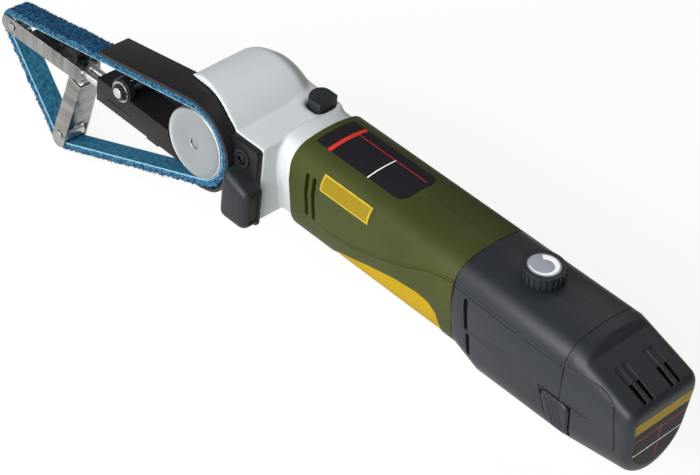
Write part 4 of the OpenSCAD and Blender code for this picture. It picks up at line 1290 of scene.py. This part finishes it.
# %% Painted shade sheets behind the slots
VENT_SHADE_SHEETS = {
    "grip": ((-60.0, -50.0), (-11.5, 12.0), 30.5),
    "housing": ((-149.0, -139.5), (-22.0, 8.0), 33.0),
}
VENT_SHADE_SHEET_INSET, VENT_SHADE_SHEET_THICK = 2.4, 0.3


def inner_wall(side, x_range, z_range, drop):
    def place(u, v):
        return on_side(side, part_way(*x_range, u), part_way(*z_range, v), drop)

    return place


for side, word in SIDES:
    for shell, extent in VENT_SHADE_SHEETS.items():
        vent_shade_sheet_name = "gauze_" + shell + "_" + word
        # Painted shade: each sheet is near-black, so the slots in front of it read dark.
        thin_plate(
            vent_shade_sheet_name, inner_wall(side, *extent), GAP_SHADE, "body",
            cells=(6, 24), lift=-VENT_SHADE_SHEET_INSET, thick=VENT_SHADE_SHEET_THICK,
        )
        print("vent_shade_sheet", vent_shade_sheet_name)

# %% [markdown]
# ## Label on the battery's end
# A printed label covers the rounded rear end of the battery. Each point of a flat grid is sent
# straight onto the battery, so the label bends round the end's corners. It has plain bands and
# rules.

# %% Label that lies on the battery
LABEL_LOW, LABEL_HIGH, LABEL_R, LABEL_HALF, BELLY_Z = -26.6, 1.2, 15.2, 17.2, -11.4
BEHIND = -260


def label_half(z):
    if z < BELLY_Z:
        return math.sqrt(max(0.5, LABEL_R**2 - (z - BELLY_Z) ** 2))
    return min(LABEL_HALF, LABEL_R + (z - BELLY_Z) * 0.15)


def on_rear(u, v):
    z = part_way(LABEL_LOW, LABEL_HIGH, v)
    return cast(battery, (BEHIND, label_half(z) * (1 - 2 * u), z), (1, 0, 0))


LABEL = lined_plate(
    "battery_label_black", (0.0065, 0.006, 0.007),
    [
        (EVERYWHERE, (0.79, 0.985), GOLD), (EVERYWHERE, (0.630, 0.640), RED),
        (EVERYWHERE, (0.360, 0.375), PALE), ((0.495, 0.505), (0.04, 0.70), RED),
    ],
)
label = thin_plate(
    "battery_label", on_rear, LABEL, "battery",
    cells=(40, 40), lift=-0.1, thick=0.12,
)
print("label", label.name)

# %% [markdown]
# ## Creases, ribs and seams
# Mouldings carry fine raised lines and grooves where mould halves and grip zones meet. Each line is a path
# in the side view, sent onto the piece from the side, and swept as a round bead that is sunk for most of its
# depth. The dark beads under the raised lines, in the grooves and gaps, round the grip's border and along
# the guard's seam are painted shade.

# %% Beads on the surface
def resample(path, step=0.8):
    spots = []
    for (x0, z0), (x1, z1) in zip(path, path[1:]):
        count = max(1, round(math.hypot(x1 - x0, z1 - z0) / step))
        spots += [(x0 + (x1 - x0) * k / count, z0 + (z1 - z0) * k / count) for k in range(count)]
    return spots + [path[-1]]


def sweep(name, spots, radius, closed, finish, body):
    curve = bpy.data.curves.new(name, "CURVE")
    curve.dimensions = "3D"
    curve.bevel_depth = radius / 1000
    curve.bevel_resolution = 2
    curve.use_fill_caps = not closed
    line = curve.splines.new("POLY")
    line.points.add(len(spots) - 1)
    line.use_cyclic_u = closed
    for point, spot in zip(line.points, spots):
        point.co = (*at(*spot), 1)
    select_only(put(name, curve))
    bpy.ops.object.convert(target="MESH")
    bpy.ops.object.shade_smooth()
    return settle(bpy.context.active_object, finish, body)


def bead(name, carrier, path, side, radius, sink, finish, fade=0.0):
    piece, body, slot = carrier
    hits = [cast(piece, (x, side * ABOVE, z), (0, -side, 0)) for x, z in resample(path)]
    hits = [hit for hit in hits if hit]
    spots = []
    for i, (spot, normal) in enumerate(hits):
        swell = min(1.0, 0.25 + i / (fade * len(hits))) if fade else 1.0
        spots.append(spot - normal * (radius - (radius - sink) * swell))
    return sweep(name, spots, radius, False, finish, body)


GRIP_WAVE = [(-63, -11.6), (-79, -10), (-93, -5), (-103.5, -1), (-121, 7.8), (-128, 9.7)]
GRIP_WAVE.append((-134.2, 10.7))
HOUSING_LINE = [(-136, 9.9), (-163, 8.8), (-191, 8.9)]
CASE_LINE = [(-193.6, 8.9), (-201, 9.8), (-208.9, 9.8), (-213, 8.4), (-216.4, 6.2)]
CASE_GROOVE = [(-216.4, 6.2), (-217.4, 4.6), (-219.4, -15.9)]
LATCH_SLIT = [(-193.4, latch_top + 0.4), (-206.4, latch_top + 0.6)]
GAP_X, GAP_Z = LATCH_FRONT + 0.6, latch_top + 0.5
LATCH_GAP = [(-192.0, GAP_Z), (GAP_X, GAP_Z), (GAP_X - LATCH_SLANT, latch_foot)]
LINE_SINK, FLUSH_SINK = 0.18, 0.52
beads = []


def lowered(path, drop=0.75):
    return [(x, z - drop) for x, z in path]


for side, word in SIDES:
    grip = (dressed["grip_" + word], "body", "green_plastic")
    housing = (dressed["rear_housing"], "body", "dark_plastic")
    case = (battery, "battery", "dark_plastic")
    low = LINE_SINK if side > 0 else FLUSH_SINK
    # The shade, groove, gap and slit beads are painted shade; the wave and line beads are raised ridges.
    lines = [
        ("grip_wave_", grip, GRIP_WAVE, 0.6, low, GREEN, 0.3),
        ("grip_shade_", grip, lowered(GRIP_WAVE), 0.35, 0.22, CREASE_SHADE, 0.3),
        ("housing_line_", housing, HOUSING_LINE, 0.55, low, DARK),
        ("housing_shade_", housing, lowered(HOUSING_LINE), 0.3, 0.18, GAP_SHADE),
        ("case_line_", case, CASE_LINE, 0.55, low, DARK),
        ("case_groove_", case, CASE_GROOVE, 0.55, 0.42, GAP_SHADE),
        ("latch_gap_", housing, LATCH_GAP, 0.5, 0.36, GAP_SHADE),
        ("latch_slit_", case, LATCH_SLIT, 0.35, 0.26, GAP_SHADE),
    ]
    beads += [bead(name + word, *rest[:2], side, *rest[2:]) for name, *rest in lines]


BORDER_R, BORDER_SINK, BORDER_X, GRIP_DROP = 1.2, 1.16, -135.05, 30.5


def border(name, x, drop, finish):
    half = half_outline(BODY_TOP, drop)
    ring = [Vector((x, y, z)) for y, z in half + [(-y, z) for y, z in half[-2:0:-1]]]
    spots = [spot + Vector((0, -spot.y, -spot.z - 5)).normalized() * BORDER_SINK for spot in ring]
    return sweep(name, spots, BORDER_R, True, finish, "body")


# Painted shade: a near-black ring in the joint between grip and housing.
beads.append(border("grip_border", BORDER_X, GRIP_DROP, GAP_SHADE))
# Painted shade: a near-black line along the hand guard's seam.
SEAM = [(-31.2, 1.4), (-31.2, -20.6)]
seam_carrier = (hand_guard, "body", "black_plastic")
beads.append(bead("hand_guard_seam", seam_carrier, SEAM, 1, 0.6, 0.57, GAP_SHADE))
print("beads", len(beads))

# %% [markdown]
# ## Mark on the speed knob
# The grey disc on the knob carries a white crescent that grows towards full speed.

# %% Crescent
KNOB_X, MARK_R, MARK_FROM, MARK_SWEEP = -160.0, 5.9, 50, 270
disc_top = (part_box("knob_cap")[1][2] - DATUM.z) * 1000


def on_disc(u, v):
    angle = math.radians(MARK_FROM + MARK_SWEEP * u)
    r = MARK_R - (0.2 + 2.6 * u) * (1 - v)
    return Vector((KNOB_X + r * math.cos(angle), r * math.sin(angle), disc_top)), Vector((0, 0, 1))


mark = thin_plate(
    "knob_mark", on_disc, PRINT, "knob", cells=(60, 3), lift=0.0, thick=0.05
)
print("mark", mark.name)
